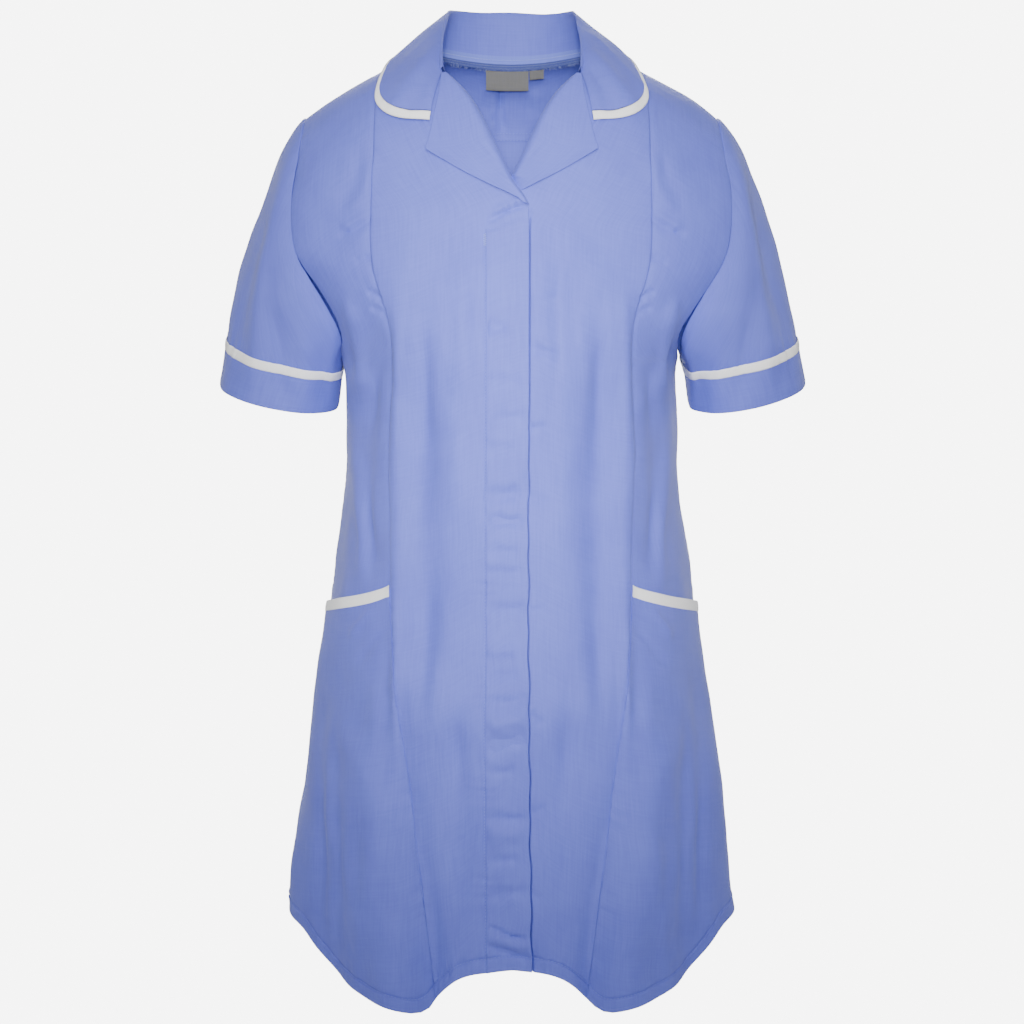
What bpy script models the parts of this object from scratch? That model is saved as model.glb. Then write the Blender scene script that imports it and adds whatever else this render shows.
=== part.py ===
"""A short-sleeved maternity tunic, hollow as it is worn, built from the pieces that a maker cuts.

Metres, +Z up. The front faces -Y and the wearer's left is +X. The origin lies between the two
high shoulder points, where the wearer's shoulders hold the garment.
"""

import math

import bmesh
import bpy
import numpy as np

# Cloth and seams
WALL = 0.0012
SEAM_GAP = 0.0004
LAYER = WALL + SEAM_GAP
TAPE_THICKNESS = 0.0009

# Driving sizes of the cut
NECK_HALF_WIDTH = 0.070
BACK_NECK_DROP = 0.008
SHOULDER_TIP_X = 0.176
YOKE_DROP = 0.0755
FLY_EDGE_X = 0.0142
UNDERLAP_X = -0.0217
SIDE_SEAM_DEGREES = 94.0
COLLAR_BINDING_WIDTH = 0.0078
CUFF_DEPTH = 0.0305
CUFF_BINDING_WIDTH = 0.0078
TAPE_WIDTH = 0.012
LABEL_WIDTH, LABEL_HEIGHT = 0.037, 0.019
SIZE_TAG_WIDTH, SIZE_TAG_HEIGHT = 0.0125, 0.009
LABEL_LEFT_X = -0.0222

# The body's level sections. Each lies at a drop below the shoulder line.
BODY_COLUMNS = ("drop", "half_width", "front", "back")
BODY_ROWS = (
    (0.000, 0.205, 0.000, 0.000),
    (0.005, 0.205, 0.032, 0.039),
    (0.010, 0.205, 0.044, 0.0545),
    (0.020, 0.205, 0.060, 0.067),
    (0.040, 0.206, 0.079, 0.080),
    (0.070, 0.208, 0.094, 0.091),
    (0.100, 0.212, 0.103, 0.098),
    (0.140, 0.215, 0.111, 0.103),
    (0.178, 0.206, 0.117, 0.105),
    (0.202, 0.187, 0.121, 0.104),
    (0.224, 0.167, 0.124, 0.101),
    (0.245, 0.1505, 0.127, 0.098),
    (0.262, 0.1435, 0.129, 0.096),
    (0.320, 0.1407, 0.131, 0.090),
    (0.360, 0.1417, 0.133, 0.088),
    (0.400, 0.1472, 0.137, 0.090),
    (0.450, 0.1547, 0.143, 0.096),
    (0.500, 0.1605, 0.149, 0.104),
    (0.560, 0.1695, 0.152, 0.112),
    (0.620, 0.1790, 0.151, 0.119),
    (0.680, 0.1867, 0.147, 0.124),
    (0.740, 0.1920, 0.142, 0.127),
    (0.805, 0.1950, 0.138, 0.129),
)
BOXINESS = 0.15  # how much fuller than an ellipse each section is

# How far the hem hangs below the shoulder line, all round
HEM_COLUMNS = ("degrees", "drop")
HEM_ROWS = (
    (0.0, 0.7583),
    (8.0, 0.7615),
    (13.5, 0.7680),
    (17.0, 0.7785),
    (19.5, 0.7880),
    (22.0, 0.7962),
    (26.0, 0.7964),
    (34.0, 0.7922),
    (44.0, 0.7852),
    (52.0, 0.7765),
    (58.0, 0.7620),
    (65.0, 0.7460),
    (72.0, 0.7390),
    (84.0, 0.7352),
    (96.0, 0.7366),
    (125.0, 0.7500),
    (150.0, 0.7590),
    (180.0, 0.7640),
)

# The front princess seam, from the shoulder to the hem
PRINCESS_COLUMNS = ("drop", "x")
PRINCESS_ROWS = (
    (0.000, 0.1128),
    (0.100, 0.1136),
    (0.154, 0.1150),
    (0.185, 0.1125),
    (0.212, 0.1050),
    (0.230, 0.1005),
    (0.250, 0.0990),
    (0.330, 0.0997),
    (0.400, 0.0993),
    (0.450, 0.0983),
    (0.500, 0.0945),
    (0.566, 0.0878),
    (0.645, 0.0800),
    (0.727, 0.0715),
    (0.800, 0.0645),
)

# The armhole, in degrees round from the centre front and from the centre back
ARMHOLE_COLUMNS = ("drop", "front_degrees", "back_degrees")
ARMHOLE_ROWS = (
    (0.000, 58.3, 58.3),
    (0.040, 58.5, 58.8),
    (0.094, 58.9, 59.2),
    (0.132, 57.7, 58.3),
    (0.160, 57.1, 57.8),
    (0.190, 57.8, 58.6),
    (0.205, 59.3, 60.2),
    (0.224, 62.4, 63.2),
    (0.243, 67.8, 68.6),
    (0.2545, 75.5, 76.0),
    (0.260, 90.0, 90.0),
)
UNDERARM_DROP = 0.260

# The roll line of the lapels, from the collar down to the closed front
ROLL_COLUMNS = ("drop", "x")
ROLL_ROWS = (
    (0.0238, 0.0560),
    (0.0365, 0.0420),
    (0.0446, 0.0352),
    (0.0610, 0.0252),
    (0.0806, 0.0157),
    (0.1000, 0.0065),
    (0.1140, -0.0008),
    (0.1245, -0.0084),
    (0.1340, -0.0137),
)
# Lines across a lapel, each from the roll line to the free edge: down the seam to the collar,
# round the tip, and along the lower edge. The left one ends where the right front covers it.
LAPEL_COLUMNS = ("roll_drop", "edge_drop", "edge_x")
LAPEL_TOP_ROWS = (
    (0.0262, 0.0262, 0.0570),
    (0.0330, 0.0409, 0.0595),
    (0.0446, 0.0560, 0.0628),
    (0.0580, 0.0698, 0.0658),
    (0.0700, 0.0795, 0.0682),
    (0.0800, 0.0857, 0.0703),
    (0.0880, 0.0918, 0.0608),
    (0.0960, 0.0985, 0.0497),
)
LAPEL_RIGHT_ROWS = LAPEL_TOP_ROWS + (
    (0.1030, 0.1051, 0.0382),
    (0.1095, 0.1115, 0.0253),
    (0.1150, 0.1163, 0.0157),
    (0.1205, 0.1211, 0.0052),
    (0.1265, 0.1264, -0.0050),
    (0.1312, 0.1306, -0.0097),
)
LAPEL_LEFT_ROWS = LAPEL_TOP_ROWS + (
    (0.1020, 0.1051, 0.0382),
    (0.1065, 0.1115, 0.0253),
    (0.1090, 0.1163, 0.0157),
    (0.1098, 0.1192, 0.0095),
)

# Soft folds of the skirt. Each runs from its top angle to its hem angle and grows to its height
# at the hem. A minus sign makes a trough. The front ones stand on both sides.
FOLD_COLUMNS = ("top_degrees", "hem_degrees", "width", "height", "start_drop")
FOLD_ROWS = (
    (39.0, 20.4, 3.6, -0.0110, 0.540),
    (47.0, 30.0, 7.5, 0.0100, 0.500),
    (58.0, 53.0, 7.0, -0.0110, 0.470),
    (76.0, 76.0, 9.0, 0.0060, 0.440),
    (100.0, 101.0, 9.0, -0.0060, 0.440),
    (120.0, 122.0, 10.0, 0.0085, 0.420),
    (141.0, 143.0, 9.0, -0.0080, 0.420),
    (160.0, 162.0, 9.0, 0.0075, 0.420),
)
HEM_LEVEL = 0.780

# Stations of one half of the collar, from its front end to the centre back: the roll line's point,
# the place on the neck seam in degrees from the shoulder, the outer edge as a place on the body
# (a sideways distance and a root, below), and how far the fall stands off a straight line.
COLLAR_COLUMNS = ("roll_x", "roll_y", "roll_z", "neck_degrees", "edge_x", "edge_root", "bulge")
COLLAR_ROWS = (
    (0.0568, -0.0615, -0.0210, -35.0, 0.0666, -0.2500, 0.0042),
    (0.0583, -0.0530, -0.0126, -28.0, 0.0844, -0.2420, 0.0080),
    (0.0584, -0.0370, -0.0004, -19.0, 0.1002, -0.2240, 0.0083),
    (0.0572, -0.0200, 0.0108, -10.0, 0.1098, -0.1930, 0.0068),
    (0.0556, -0.0030, 0.0208, 0.0, 0.1116, -0.1480, 0.0034),
    (0.0538, 0.0180, 0.0298, 15.0, 0.1048, -0.0700, 0.0022),
    (0.0498, 0.0360, 0.0324, 30.0, 0.0978, 0.0080, 0.0024),
    (0.0400, 0.0485, 0.0326, 46.0, 0.0886, 0.0900, 0.0032),
    (0.0275, 0.0555, 0.0324, 61.0, 0.0704, 0.1550, 0.0038),
    (0.0138, 0.0588, 0.0324, 76.0, 0.0400, 0.1950, 0.0042),
    (0.0000, 0.0597, 0.0324, 90.0, 0.0000, 0.2060, 0.0042),
)
COLLAR_EDGE_LIFT = 0.0032
COLLAR_FOLD_RADIUS = 0.0022

# The sleeve's hem ring and how the cloth leaves the armhole
CUFF_CENTRE = (0.1979, 0.000, -0.2890)
CUFF_ACROSS = (0.0532, 0.000, 0.0105)
CUFF_FORWARD = (0.000, -0.0555, -0.0122)
SLEEVE_TOP_AXIS = np.array((0.238, 0.000, -0.971))
SLEEVE_UNDER_AXIS = np.array((0.060, 0.000, -1.000))

# Colours as the light falls on the cloth
CLOTH_BLUE = (0.255, 0.345, 0.690, 1.0)
BINDING_WHITE = (0.880, 0.880, 0.890, 1.0)
TAPE_BLUE = (0.330, 0.420, 0.740, 1.0)
LABEL_GREY = (0.330, 0.330, 0.320, 1.0)


def column(columns, rows, name):
    """One named column of a table, as an array."""
    return np.array([row[columns.index(name)] for row in rows], float)


def spline(at, xs, ys):
    """Values on the natural cubic spline through the points (xs, ys)."""
    count, gap = len(xs), np.diff(xs)
    matrix, right = np.eye(count), np.zeros(count)
    for i in range(1, count - 1):
        matrix[i, i - 1 : i + 2] = gap[i - 1], 2 * (gap[i - 1] + gap[i]), gap[i]
        right[i] = 6 * ((ys[i + 1] - ys[i]) / gap[i] - (ys[i] - ys[i - 1]) / gap[i - 1])
    bend = np.linalg.solve(matrix, right)
    at = np.asarray(at, float)
    i = np.clip(np.searchsorted(xs, at) - 1, 0, count - 2)
    low, high, span = at - xs[i], xs[i + 1] - at, gap[i]
    cubic = (bend[i] * high**3 + bend[i + 1] * low**3) / (6 * span)
    return (
        cubic
        + (ys[i] / span - bend[i] * span / 6) * high
        + (ys[i + 1] / span - bend[i + 1] * span / 6) * low
    )


def smoothstep(t):
    t = np.clip(t, 0.0, 1.0)
    return t * t * (3 - 2 * t)


def unit(vectors):
    return vectors / np.maximum(np.linalg.norm(vectors, axis=-1, keepdims=True), 1e-12)


def section(root):
    """Half width, front depth and back depth of the body's section at a root, the square root of
    its drop. Depths grow evenly with the root, which rounds the shoulder line over."""
    roots = np.sqrt(column(BODY_COLUMNS, BODY_ROWS, "drop"))
    return [
        spline(root, roots, column(BODY_COLUMNS, BODY_ROWS, name))
        for name in ("half_width", "front", "back")
    ]


def shoulder_fall(x):
    """How far the shoulder line lies below the high shoulder point at x."""
    out = np.abs(x) - NECK_HALF_WIDTH
    out = (out + np.sqrt(out**2 + 0.012**2)) / 2
    return -(0.43 * out + 1.15 * out**2)


def fold_height(degrees, drop):
    """How far the skirt's folds stand out of the plain section."""
    height = np.zeros(np.broadcast(degrees, drop).shape)
    for top, hem, width, rise, start in FOLD_ROWS:
        grown = np.clip((drop - start) / (HEM_LEVEL - start), 0.0, 1.15)
        centre = top + (hem - top) * smoothstep((drop - 0.42) / (HEM_LEVEL - 0.42))
        height += rise * grown**1.5 * np.exp(-(((np.abs(degrees) - centre) / width) ** 2))
    return height


def bust_height(x, drop):
    """The fullness that the princess seams give over the bust."""
    return 0.011 * np.exp(-(((np.abs(x) - 0.082) / 0.050) ** 2) - ((drop - 0.238) / 0.058) ** 2)


def body(angle, root):
    """Points of the tunic's outer surface. The angle goes round from the centre front to +X."""
    angle, root = np.broadcast_arrays(np.asarray(angle, float), np.asarray(root, float))
    drop = root**2
    half_width, front, back = section(root)
    sine, cosine = np.sin(angle), np.cos(angle)
    depth = np.where(cosine >= 0, front, back)
    x = half_width * sine
    y = -depth * cosine * (1 + BOXINESS * sine**2)
    degrees = np.degrees(np.abs((angle + math.pi) % (2 * math.pi) - math.pi))
    out = fold_height(degrees, drop)
    across = unit(np.stack([sine * np.maximum(depth, 1e-4), -cosine * half_width], -1))
    x, y = x + out * across[..., 0], y + out * across[..., 1]
    y = y - np.where(cosine > 0, bust_height(x, drop), 0.0)
    level = np.clip(1 - drop / 0.22, 0.0, 1.0) ** 2
    return np.stack([x, y, -drop + level * shoulder_fall(x)], -1)


def body_normal(angle, root):
    """Unit normals of the outer surface, pointing out of the garment."""
    step = 1e-4
    root = np.maximum(root, 2 * step)
    around = body(angle + step, root) - body(angle - step, root)
    down = body(angle, root + step) - body(angle, root - step)
    return unit(np.cross(down, around))


def angle_at(x, root):
    """The angle of the front at a sideways distance x."""
    return np.arcsin(np.clip(x / section(root)[0], -1.0, 1.0))


def place(x, signed_root, lift):
    """A point over the body near the shoulders. A negative root is in front of the shoulder line
    and a positive one behind it."""
    root = np.maximum(np.abs(signed_root), 1e-3)
    front = angle_at(x, root)
    angle = np.where(signed_root < 0, front, math.pi - front)
    lift = np.asarray(lift, float)[..., None]
    return body(angle, root) + lift * body_normal(angle, root)


def fabric(name, colour, roughness):
    material = bpy.data.materials.new(name)
    material.use_nodes = True
    shader = material.node_tree.nodes["Principled BSDF"]
    shader.inputs["Base Color"].default_value = colour
    shader.inputs["Roughness"].default_value = roughness
    shader.inputs["Metallic"].default_value = 0.0
    return material


def grid_normals(points, closed=False):
    """Normals of a grid of points, from its neighbours. Columns meet when it is closed."""
    if closed:
        wide = np.concatenate([points[:, -1:], points, points[:, :1]], 1)
        along = wide[:, 2:] - wide[:, :-2]
    else:
        along = np.gradient(points, axis=1)
    return unit(np.cross(np.gradient(points, axis=0), along))


def wall(name, material, outer, normals, thickness=WALL, closed=False):
    """A closed solid from a grid of outer points and the cloth's thickness inside them."""
    rows, columns = outer.shape[:2]
    inner = outer - thickness * normals
    size = rows * columns

    def corner(side, row, col):
        return side * size + row * columns + col % columns

    faces = []
    last = columns if closed else columns - 1
    for row in range(rows - 1):
        for col in range(last):
            for side in (0, 1):
                faces.append(
                    [
                        corner(side, row, col),
                        corner(side, row, col + 1),
                        corner(side, row + 1, col + 1),
                        corner(side, row + 1, col),
                    ]
                )
    rims = [(row, col, row, col + 1) for col in range(last) for row in (0, rows - 1)]
    if not closed:
        rims += [(row, col, row + 1, col) for row in range(rows - 1) for col in (0, columns - 1)]
    for row, col, next_row, next_col in rims:
        faces.append(
            [
                corner(0, row, col),
                corner(0, next_row, next_col),
                corner(1, next_row, next_col),
                corner(1, row, col),
            ]
        )
    mesh = bpy.data.meshes.new(name)
    points = np.concatenate([outer.reshape(-1, 3), inner.reshape(-1, 3)])
    mesh.from_pydata(points.tolist(), [], faces)
    shell = bmesh.new()
    shell.from_mesh(mesh)
    bmesh.ops.recalc_face_normals(shell, faces=shell.faces)
    shell.to_mesh(mesh)
    shell.free()
    mesh.materials.append(material)
    mesh.shade_smooth()
    mesh.set_sharp_from_angle(angle=math.radians(40))
    made = bpy.data.objects.new(name, mesh)
    bpy.context.scene.collection.objects.link(made)
    return made


def drawn_in(points, top=True, bottom=False, left=True, right=True):
    """The grid with its seamed edges moved in by half the seam gap."""
    points = points.copy()
    half = SEAM_GAP / 2
    if top:
        points[0] += half * unit(points[1] - points[0])
    if bottom:
        points[-1] += half * unit(points[-2] - points[-1])
    if left:
        points[:, 0] += half * unit(points[:, 1] - points[:, 0])
    if right:
        points[:, -1] += half * unit(points[:, -2] - points[:, -1])
    return points


def hem_drop(degrees):
    return spline(
        np.abs(degrees), column(HEM_COLUMNS, HEM_ROWS, "degrees"), column(HEM_COLUMNS, HEM_ROWS, "drop")
    )


def princess_x(drop):
    return spline(
        drop, column(PRINCESS_COLUMNS, PRINCESS_ROWS, "drop"), column(PRINCESS_COLUMNS, PRINCESS_ROWS, "x")
    )


def armhole_degrees(drop, side):
    drops = column(ARMHOLE_COLUMNS, ARMHOLE_ROWS, "drop")
    degrees = column(ARMHOLE_COLUMNS, ARMHOLE_ROWS, side)
    return np.interp(drop, drops, degrees)


def front_neck_root():
    """Root of the front neck curve's lowest point, which passes through the roll line's top."""
    drop, x = ROLL_ROWS[0]
    return math.sqrt(drop / (1 - (x / NECK_HALF_WIDTH) ** 2))


def roll_x(drop):
    """Sideways distance of a front's edge above the closed front: the neck curve, then the roll
    line of the lapel."""
    neck = NECK_HALF_WIDTH * np.sqrt(np.clip(1 - drop / front_neck_root() ** 2, 0.0, 1.0))
    line = spline(
        drop, column(ROLL_COLUMNS, ROLL_ROWS, "drop"), column(ROLL_COLUMNS, ROLL_ROWS, "x")
    )
    return np.where(drop < ROLL_ROWS[0][0], neck, line)


# Rows shared by the panels that meet, as drops. Skirt rows slope from the princess seam to the
# side seam, so that one of them is the pocket's mouth and the next the lower edge of its binding.
UPPER_LEVELS = (
    0.0, 0.0035, 0.013, 0.027, 0.045, 0.065, 0.087, 0.110, 0.134, 0.157, 0.180, 0.203, 0.224, 0.243,
    0.2545, UNDERARM_DROP,
)
SKIRT_COLUMNS = ("princess", "side")
SKIRT_ROWS = (
    (0.2900, 0.2900),
    (0.3280, 0.3310),
    (0.3660, 0.3760),
    (0.4040, 0.4265),
    (0.4410, 0.4735),
    (0.4505, 0.4830),
)
MOUTH_ROW = 4
HEM_STEPS = 7
BAG_STEPS = 4
YOKE_LEVELS = (0.0, 0.0035, 0.012, 0.024, 0.038)
BACK_LEVELS = (0.095, 0.124, 0.152, 0.178, 0.203, 0.224, 0.243, 0.2545, UNDERARM_DROP)


def skirt_rows(share, bottom, steps=HEM_STEPS):
    """Drops of the rows below the underarm at a share of the way from princess to side seam."""
    first = column(SKIRT_COLUMNS, SKIRT_ROWS, "princess")[:, None]
    last = column(SKIRT_COLUMNS, SKIRT_ROWS, "side")[:, None]
    rows = first + (last - first) * share**0.8
    down = np.arange(1, steps + 1)[:, None] / HEM_STEPS
    return np.concatenate([rows, rows[-1] + (bottom - rows[-1]) * down])


def hem_degrees(x, side=1):
    """Angle of the front's hem at a sideways distance."""
    return side * np.degrees(angle_at(x, math.sqrt(0.790)))


def front_angles(side, inner_x, fractions):
    """Angles and drops of a centre front, from its inner edge to the princess seam."""
    fractions = np.asarray(fractions, float)
    inner_hem = hem_degrees(inner_x(0.765))
    bottom = hem_drop(inner_hem + (hem_degrees(princess_x(0.796)) - inner_hem) * fractions)
    upper = np.array(UPPER_LEVELS)[:, None] + 0 * fractions
    drops = np.concatenate([upper, skirt_rows(0 * fractions, bottom)])
    inner = angle_at(inner_x(drops), np.sqrt(drops))
    outer = angle_at(princess_x(drops), np.sqrt(drops))
    return side * (inner + (outer - inner) * fractions), drops


def fly_inner(drop):
    """The fly's edge, which passes the centre and covers the other front."""
    past = smoothstep((drop - 0.134) / 0.015)
    return roll_x(np.minimum(drop, 0.134)) * (1 - past) - FLY_EDGE_X * past


def underlap_inner(drop):
    """The under front's edge, which runs on below the fly."""
    line = roll_x(np.minimum(drop, 0.122))
    return line + (UNDERLAP_X - line) * smoothstep((drop - 0.122) / 0.03)


def centre_fronts(cloth):
    """The two centre fronts. The wearer's right carries the fly and lies over the left."""
    angle, drop = front_angles(-1, fly_inner, (0.0, 0.14, 0.30, 0.48, 0.66, 0.80, 0.91, 1.0))
    root = np.sqrt(drop)
    wall("front_right", cloth, drawn_in(body(angle, root)), body_normal(angle, root))

    angle, drop = front_angles(1, underlap_inner, (0.0, 0.16, 0.30, 0.44, 0.60, 0.77, 0.90, 1.0))
    root = np.sqrt(drop)
    points, normals = body(angle, root), body_normal(angle, root)
    sunk = LAYER * (1 - smoothstep((points[..., 0] - 0.020) / 0.022))
    sunk = sunk * smoothstep((drop - 0.075) / 0.03)
    wall("front_left", cloth, drawn_in(points - sunk[..., None] * normals), normals)


SIDE_SHARES = np.array((0.0, 0.04, 0.10, 0.20, 0.33, 0.48, 0.65, 0.83, 1.0))


def side_angles(side, drops):
    """Angles between the princess seam and the armhole or side seam."""
    inner = np.degrees(angle_at(princess_x(drops), np.sqrt(drops)))
    outer = side_limit(drops, "front_degrees")
    return side * np.radians(inner + (outer - inner) * SIDE_SHARES)


def side_hem():
    first = hem_degrees(princess_x(0.796))
    return hem_drop(first + (SIDE_SEAM_DEGREES - first) * SIDE_SHARES)


def side_front(name, side, cloth):
    """The panel between the princess seam, the armhole and the side seam. Behind the pocket it
    runs on as the pocket's inner layer."""
    upper = np.array(UPPER_LEVELS)[:, None] + 0 * SIDE_SHARES
    drops = np.concatenate([upper, skirt_rows(SIDE_SHARES, side_hem(), BAG_STEPS)])
    angle, root = side_angles(side, drops), np.sqrt(drops)
    wall(f"side_front_{name}", cloth, drawn_in(body(angle, root)), body_normal(angle, root))


def pocket(name, side, cloth, white):
    """The lower side panel, whose bound top edge is the pocket's mouth and whose foot is the hem."""
    drops = skirt_rows(SIDE_SHARES, side_hem())[MOUTH_ROW:]

    def layer(rows, thickness):
        angle, root = side_angles(side, rows), np.sqrt(rows)
        normals = body_normal(angle, root)
        over = 1 - smoothstep((rows - 0.655) / 0.09)
        gape = 0.0028 * np.exp(-(((rows - drops[0]) / 0.08) ** 2))
        gape = gape * np.sin(math.pi * np.clip(SIDE_SHARES, 0.0, 1.0) ** 2.2) ** 1.0
        out = (SEAM_GAP + thickness) * over + gape
        return body(angle, root) + out[..., None] * normals, normals

    points, normals = layer(drops[1:], WALL)
    wall(f"pocket_{name}", cloth, drawn_in(points), normals)
    points, normals = layer(drops[:2], 1.4 * WALL)
    wall(f"pocket_binding_{name}", white, drawn_in(points, top=False, bottom=True), normals, 1.4 * WALL)


def side_limit(drops, side):
    """A panel's outer edge in degrees: the armhole, and below it the side seam, which runs back."""
    back = (SIDE_SEAM_DEGREES - 90.0) * smoothstep((drops - UNDERARM_DROP) / 0.20)
    seam = 90.0 + (back if side == "front_degrees" else -back)
    return np.where(drops <= UNDERARM_DROP, armhole_degrees(drops, side), seam)


def mirrored_shares(half):
    return np.array([-share for share in half[:0:-1]] + list(half))


def back_shares():
    """Shares of the back's half width."""
    return mirrored_shares([0.0, 0.14, 0.28, 0.42, 0.56, 0.70, 0.82, 0.92, 1.0])


def yoke_shares():
    """The same for the yoke, whose columns meet the collar's stations round the neck."""
    degrees = [row[COLLAR_COLUMNS.index("neck_degrees")] for row in COLLAR_ROWS]
    neck = [math.cos(math.radians(at)) for at in degrees[::-1] if at >= 0]
    neck[0] = 0.0
    half = [share * NECK_HALF_WIDTH / SHOULDER_TIP_X for share in neck]
    return mirrored_shares(half + [0.52, 0.67, 0.80, 0.91, 1.0])


def yoke_seam(shares):
    """Drop of the yoke's seam, a little less where the shoulders slope."""
    return YOKE_DROP + 0.35 * shoulder_fall(np.abs(shares) * SHOULDER_TIP_X)


def back_grid(drops, shares):
    """Angles and roots of the back for its rows of drops, from the wearer's right to the left."""
    limit = side_limit(drops, "back_degrees")
    half_width = section(np.sqrt(drops))[0]
    x = np.abs(shares) * half_width * np.sin(np.radians(np.minimum(limit, 90.0)))
    by_x = np.degrees(np.arcsin(np.clip(x / half_width, 0.0, 1.0)))
    by_angle = np.abs(shares) * limit
    degrees = by_x + (by_angle - by_x) * smoothstep((drops - 0.10) / 0.14)
    return np.where(shares < 0, -1, 1) * np.radians(180.0 - degrees), np.sqrt(drops)


def backs(cloth):
    """The back yoke, and the back below it."""
    shares = yoke_shares()
    seam = yoke_seam(shares)
    across = np.abs(shares) * SHOULDER_TIP_X / NECK_HALF_WIDTH
    neck = BACK_NECK_DROP * np.clip(1 - across**2, 0.0, 1.0)
    rows = np.array(YOKE_LEVELS + (0.0,))[:, None] + 0 * shares
    steps = np.linspace(0.0, 1.0, len(rows))[:, None]
    under_neck = (np.sqrt(neck) + (np.sqrt(seam) - np.sqrt(neck)) * steps) ** 2
    rows = np.where(across < 0.999, under_neck, rows)
    rows[-1] = seam
    angle, root = back_grid(rows, shares)
    wall("back_yoke", cloth, drawn_in(body(angle, root), bottom=True), body_normal(angle, root))
    shares = back_shares()
    seam = yoke_seam(shares)
    bottom = hem_drop(180.0 - np.abs(shares) * (180.0 - SIDE_SEAM_DEGREES))
    levels = np.array(BACK_LEVELS)[:, None] + 0 * shares
    drops = np.concatenate([seam[None, :], levels, skirt_rows(1 + 0 * shares, bottom)])
    angle, root = back_grid(drops, shares)
    wall("back", cloth, drawn_in(body(angle, root)), body_normal(angle, root))


def armhole_ring(side):
    """Points round the armhole: down the front from the shoulder, and up the back."""
    front = np.array(UPPER_LEVELS)
    back = np.array(YOKE_LEVELS[1:] + (float(yoke_seam(np.array(1.0))),) + BACK_LEVELS[:-1])[::-1]
    angles = np.concatenate(
        [
            np.radians(armhole_degrees(front, "front_degrees")),
            math.pi - np.radians(armhole_degrees(back, "back_degrees")),
        ]
    )
    return body(side * angles, np.sqrt(np.concatenate([front, back]))), len(front) - 1


def sleeve_grid(side, row_shares):
    """Outer points and normals of a sleeve, from the armhole down to its hem."""
    ring, underarm = armhole_ring(side)
    length = np.linalg.norm(np.roll(ring, -1, 0) - ring, axis=1)
    share = np.concatenate([[0.0], np.cumsum(length)[:-1]]) / length.sum()
    # The front half of the armhole gives the front half of the sleeve's hem
    bend = share[underarm]
    turn = np.where(share < bend, share / bend, 1 + (share - bend) / (1 - bend)) * math.pi
    mirror = np.array([side, 1.0, 1.0])
    across, forward = np.array(CUFF_ACROSS) * mirror, np.array(CUFF_FORWARD) * mirror
    front = np.sin(turn)[:, None]
    full = np.sign(front) * np.abs(front) ** 0.8
    cuff = np.array(CUFF_CENTRE) * mirror + np.cos(turn)[:, None] * across + full * forward
    top = (1 + np.cos(turn))[:, None] / 2
    leave_top = np.array([0.096, 0.0, -0.078])
    leave_under = np.array([0.045, 0.0, -0.004])
    leave = leave_under + (leave_top - leave_under) * top
    leave = leave + np.abs(front) * np.array([0.030, 0.0, -0.056])
    leave = (leave + front * np.array([0.0, -0.020, 0.0])) * mirror
    drape = np.linalg.norm(cuff - ring, axis=1)[:, None]
    axis = SLEEVE_UNDER_AXIS + (SLEEVE_TOP_AXIS - SLEEVE_UNDER_AXIS) * top
    arrive = unit(axis * mirror) * drape * 1.05
    t = np.asarray(row_shares, float)[:, None, None]
    points = (
        (2 * t**3 - 3 * t**2 + 1) * ring
        + (t**3 - 2 * t**2 + t) * leave
        + (3 * t**2 - 2 * t**3) * cuff
        + (t**3 - t**2) * arrive
    )
    return points, -side * grid_normals(points, closed=True)


SLEEVE_SHARES = (0.0, 0.06, 0.17, 0.32, 0.50, 0.68, 0.85, 1.0)


def sleeve_rings(side):
    """Points and normals of a sleeve's rings. The last four lie at the binding's top edge, at the
    cuff's, halfway down the cuff and at the hem."""
    fine, _ = sleeve_grid(side, np.linspace(0.0, 1.0, 61))
    steps = np.linalg.norm(np.diff(fine, axis=0), axis=2)
    walked = np.concatenate([np.zeros((1, steps.shape[1])), np.cumsum(steps, 0)])
    low = np.array([CUFF_DEPTH + SEAM_GAP + CUFF_BINDING_WIDTH, CUFF_DEPTH, CUFF_DEPTH / 2, 0.0])
    rings = np.empty((len(SLEEVE_SHARES) + 3, fine.shape[1], 3))
    for col in range(fine.shape[1]):
        length = walked[-1, col]
        at = np.concatenate([(length - low[0]) * np.array(SLEEVE_SHARES), length - low[1:]])
        for axis in range(3):
            rings[:, col, axis] = np.interp(at, walked[:, col], fine[:, col, axis])
    return rings, -side * grid_normals(rings, closed=True)


def sleeve(name, side, cloth, white):
    """A sleeve with its turned-up cuff and the white binding on the cuff's top edge."""
    points, normals = sleeve_rings(side)
    outer = points.copy()
    outer[0] += SEAM_GAP * unit(points[1] - points[0])
    wall(f"sleeve_{name}", cloth, outer, normals, closed=True)

    def band(piece, material, rows, thickness, gap=0.0):
        over = points[rows] + (SEAM_GAP + thickness) * normals[rows]
        over[-1] += gap * unit(over[-2] - over[-1])
        wall(piece, material, over, normals[rows], thickness, closed=True)

    band(f"cuff_{name}", cloth, slice(-3, None), WALL)
    band(f"cuff_binding_{name}", white, slice(-4, -2), 1.1 * WALL, SEAM_GAP)


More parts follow.
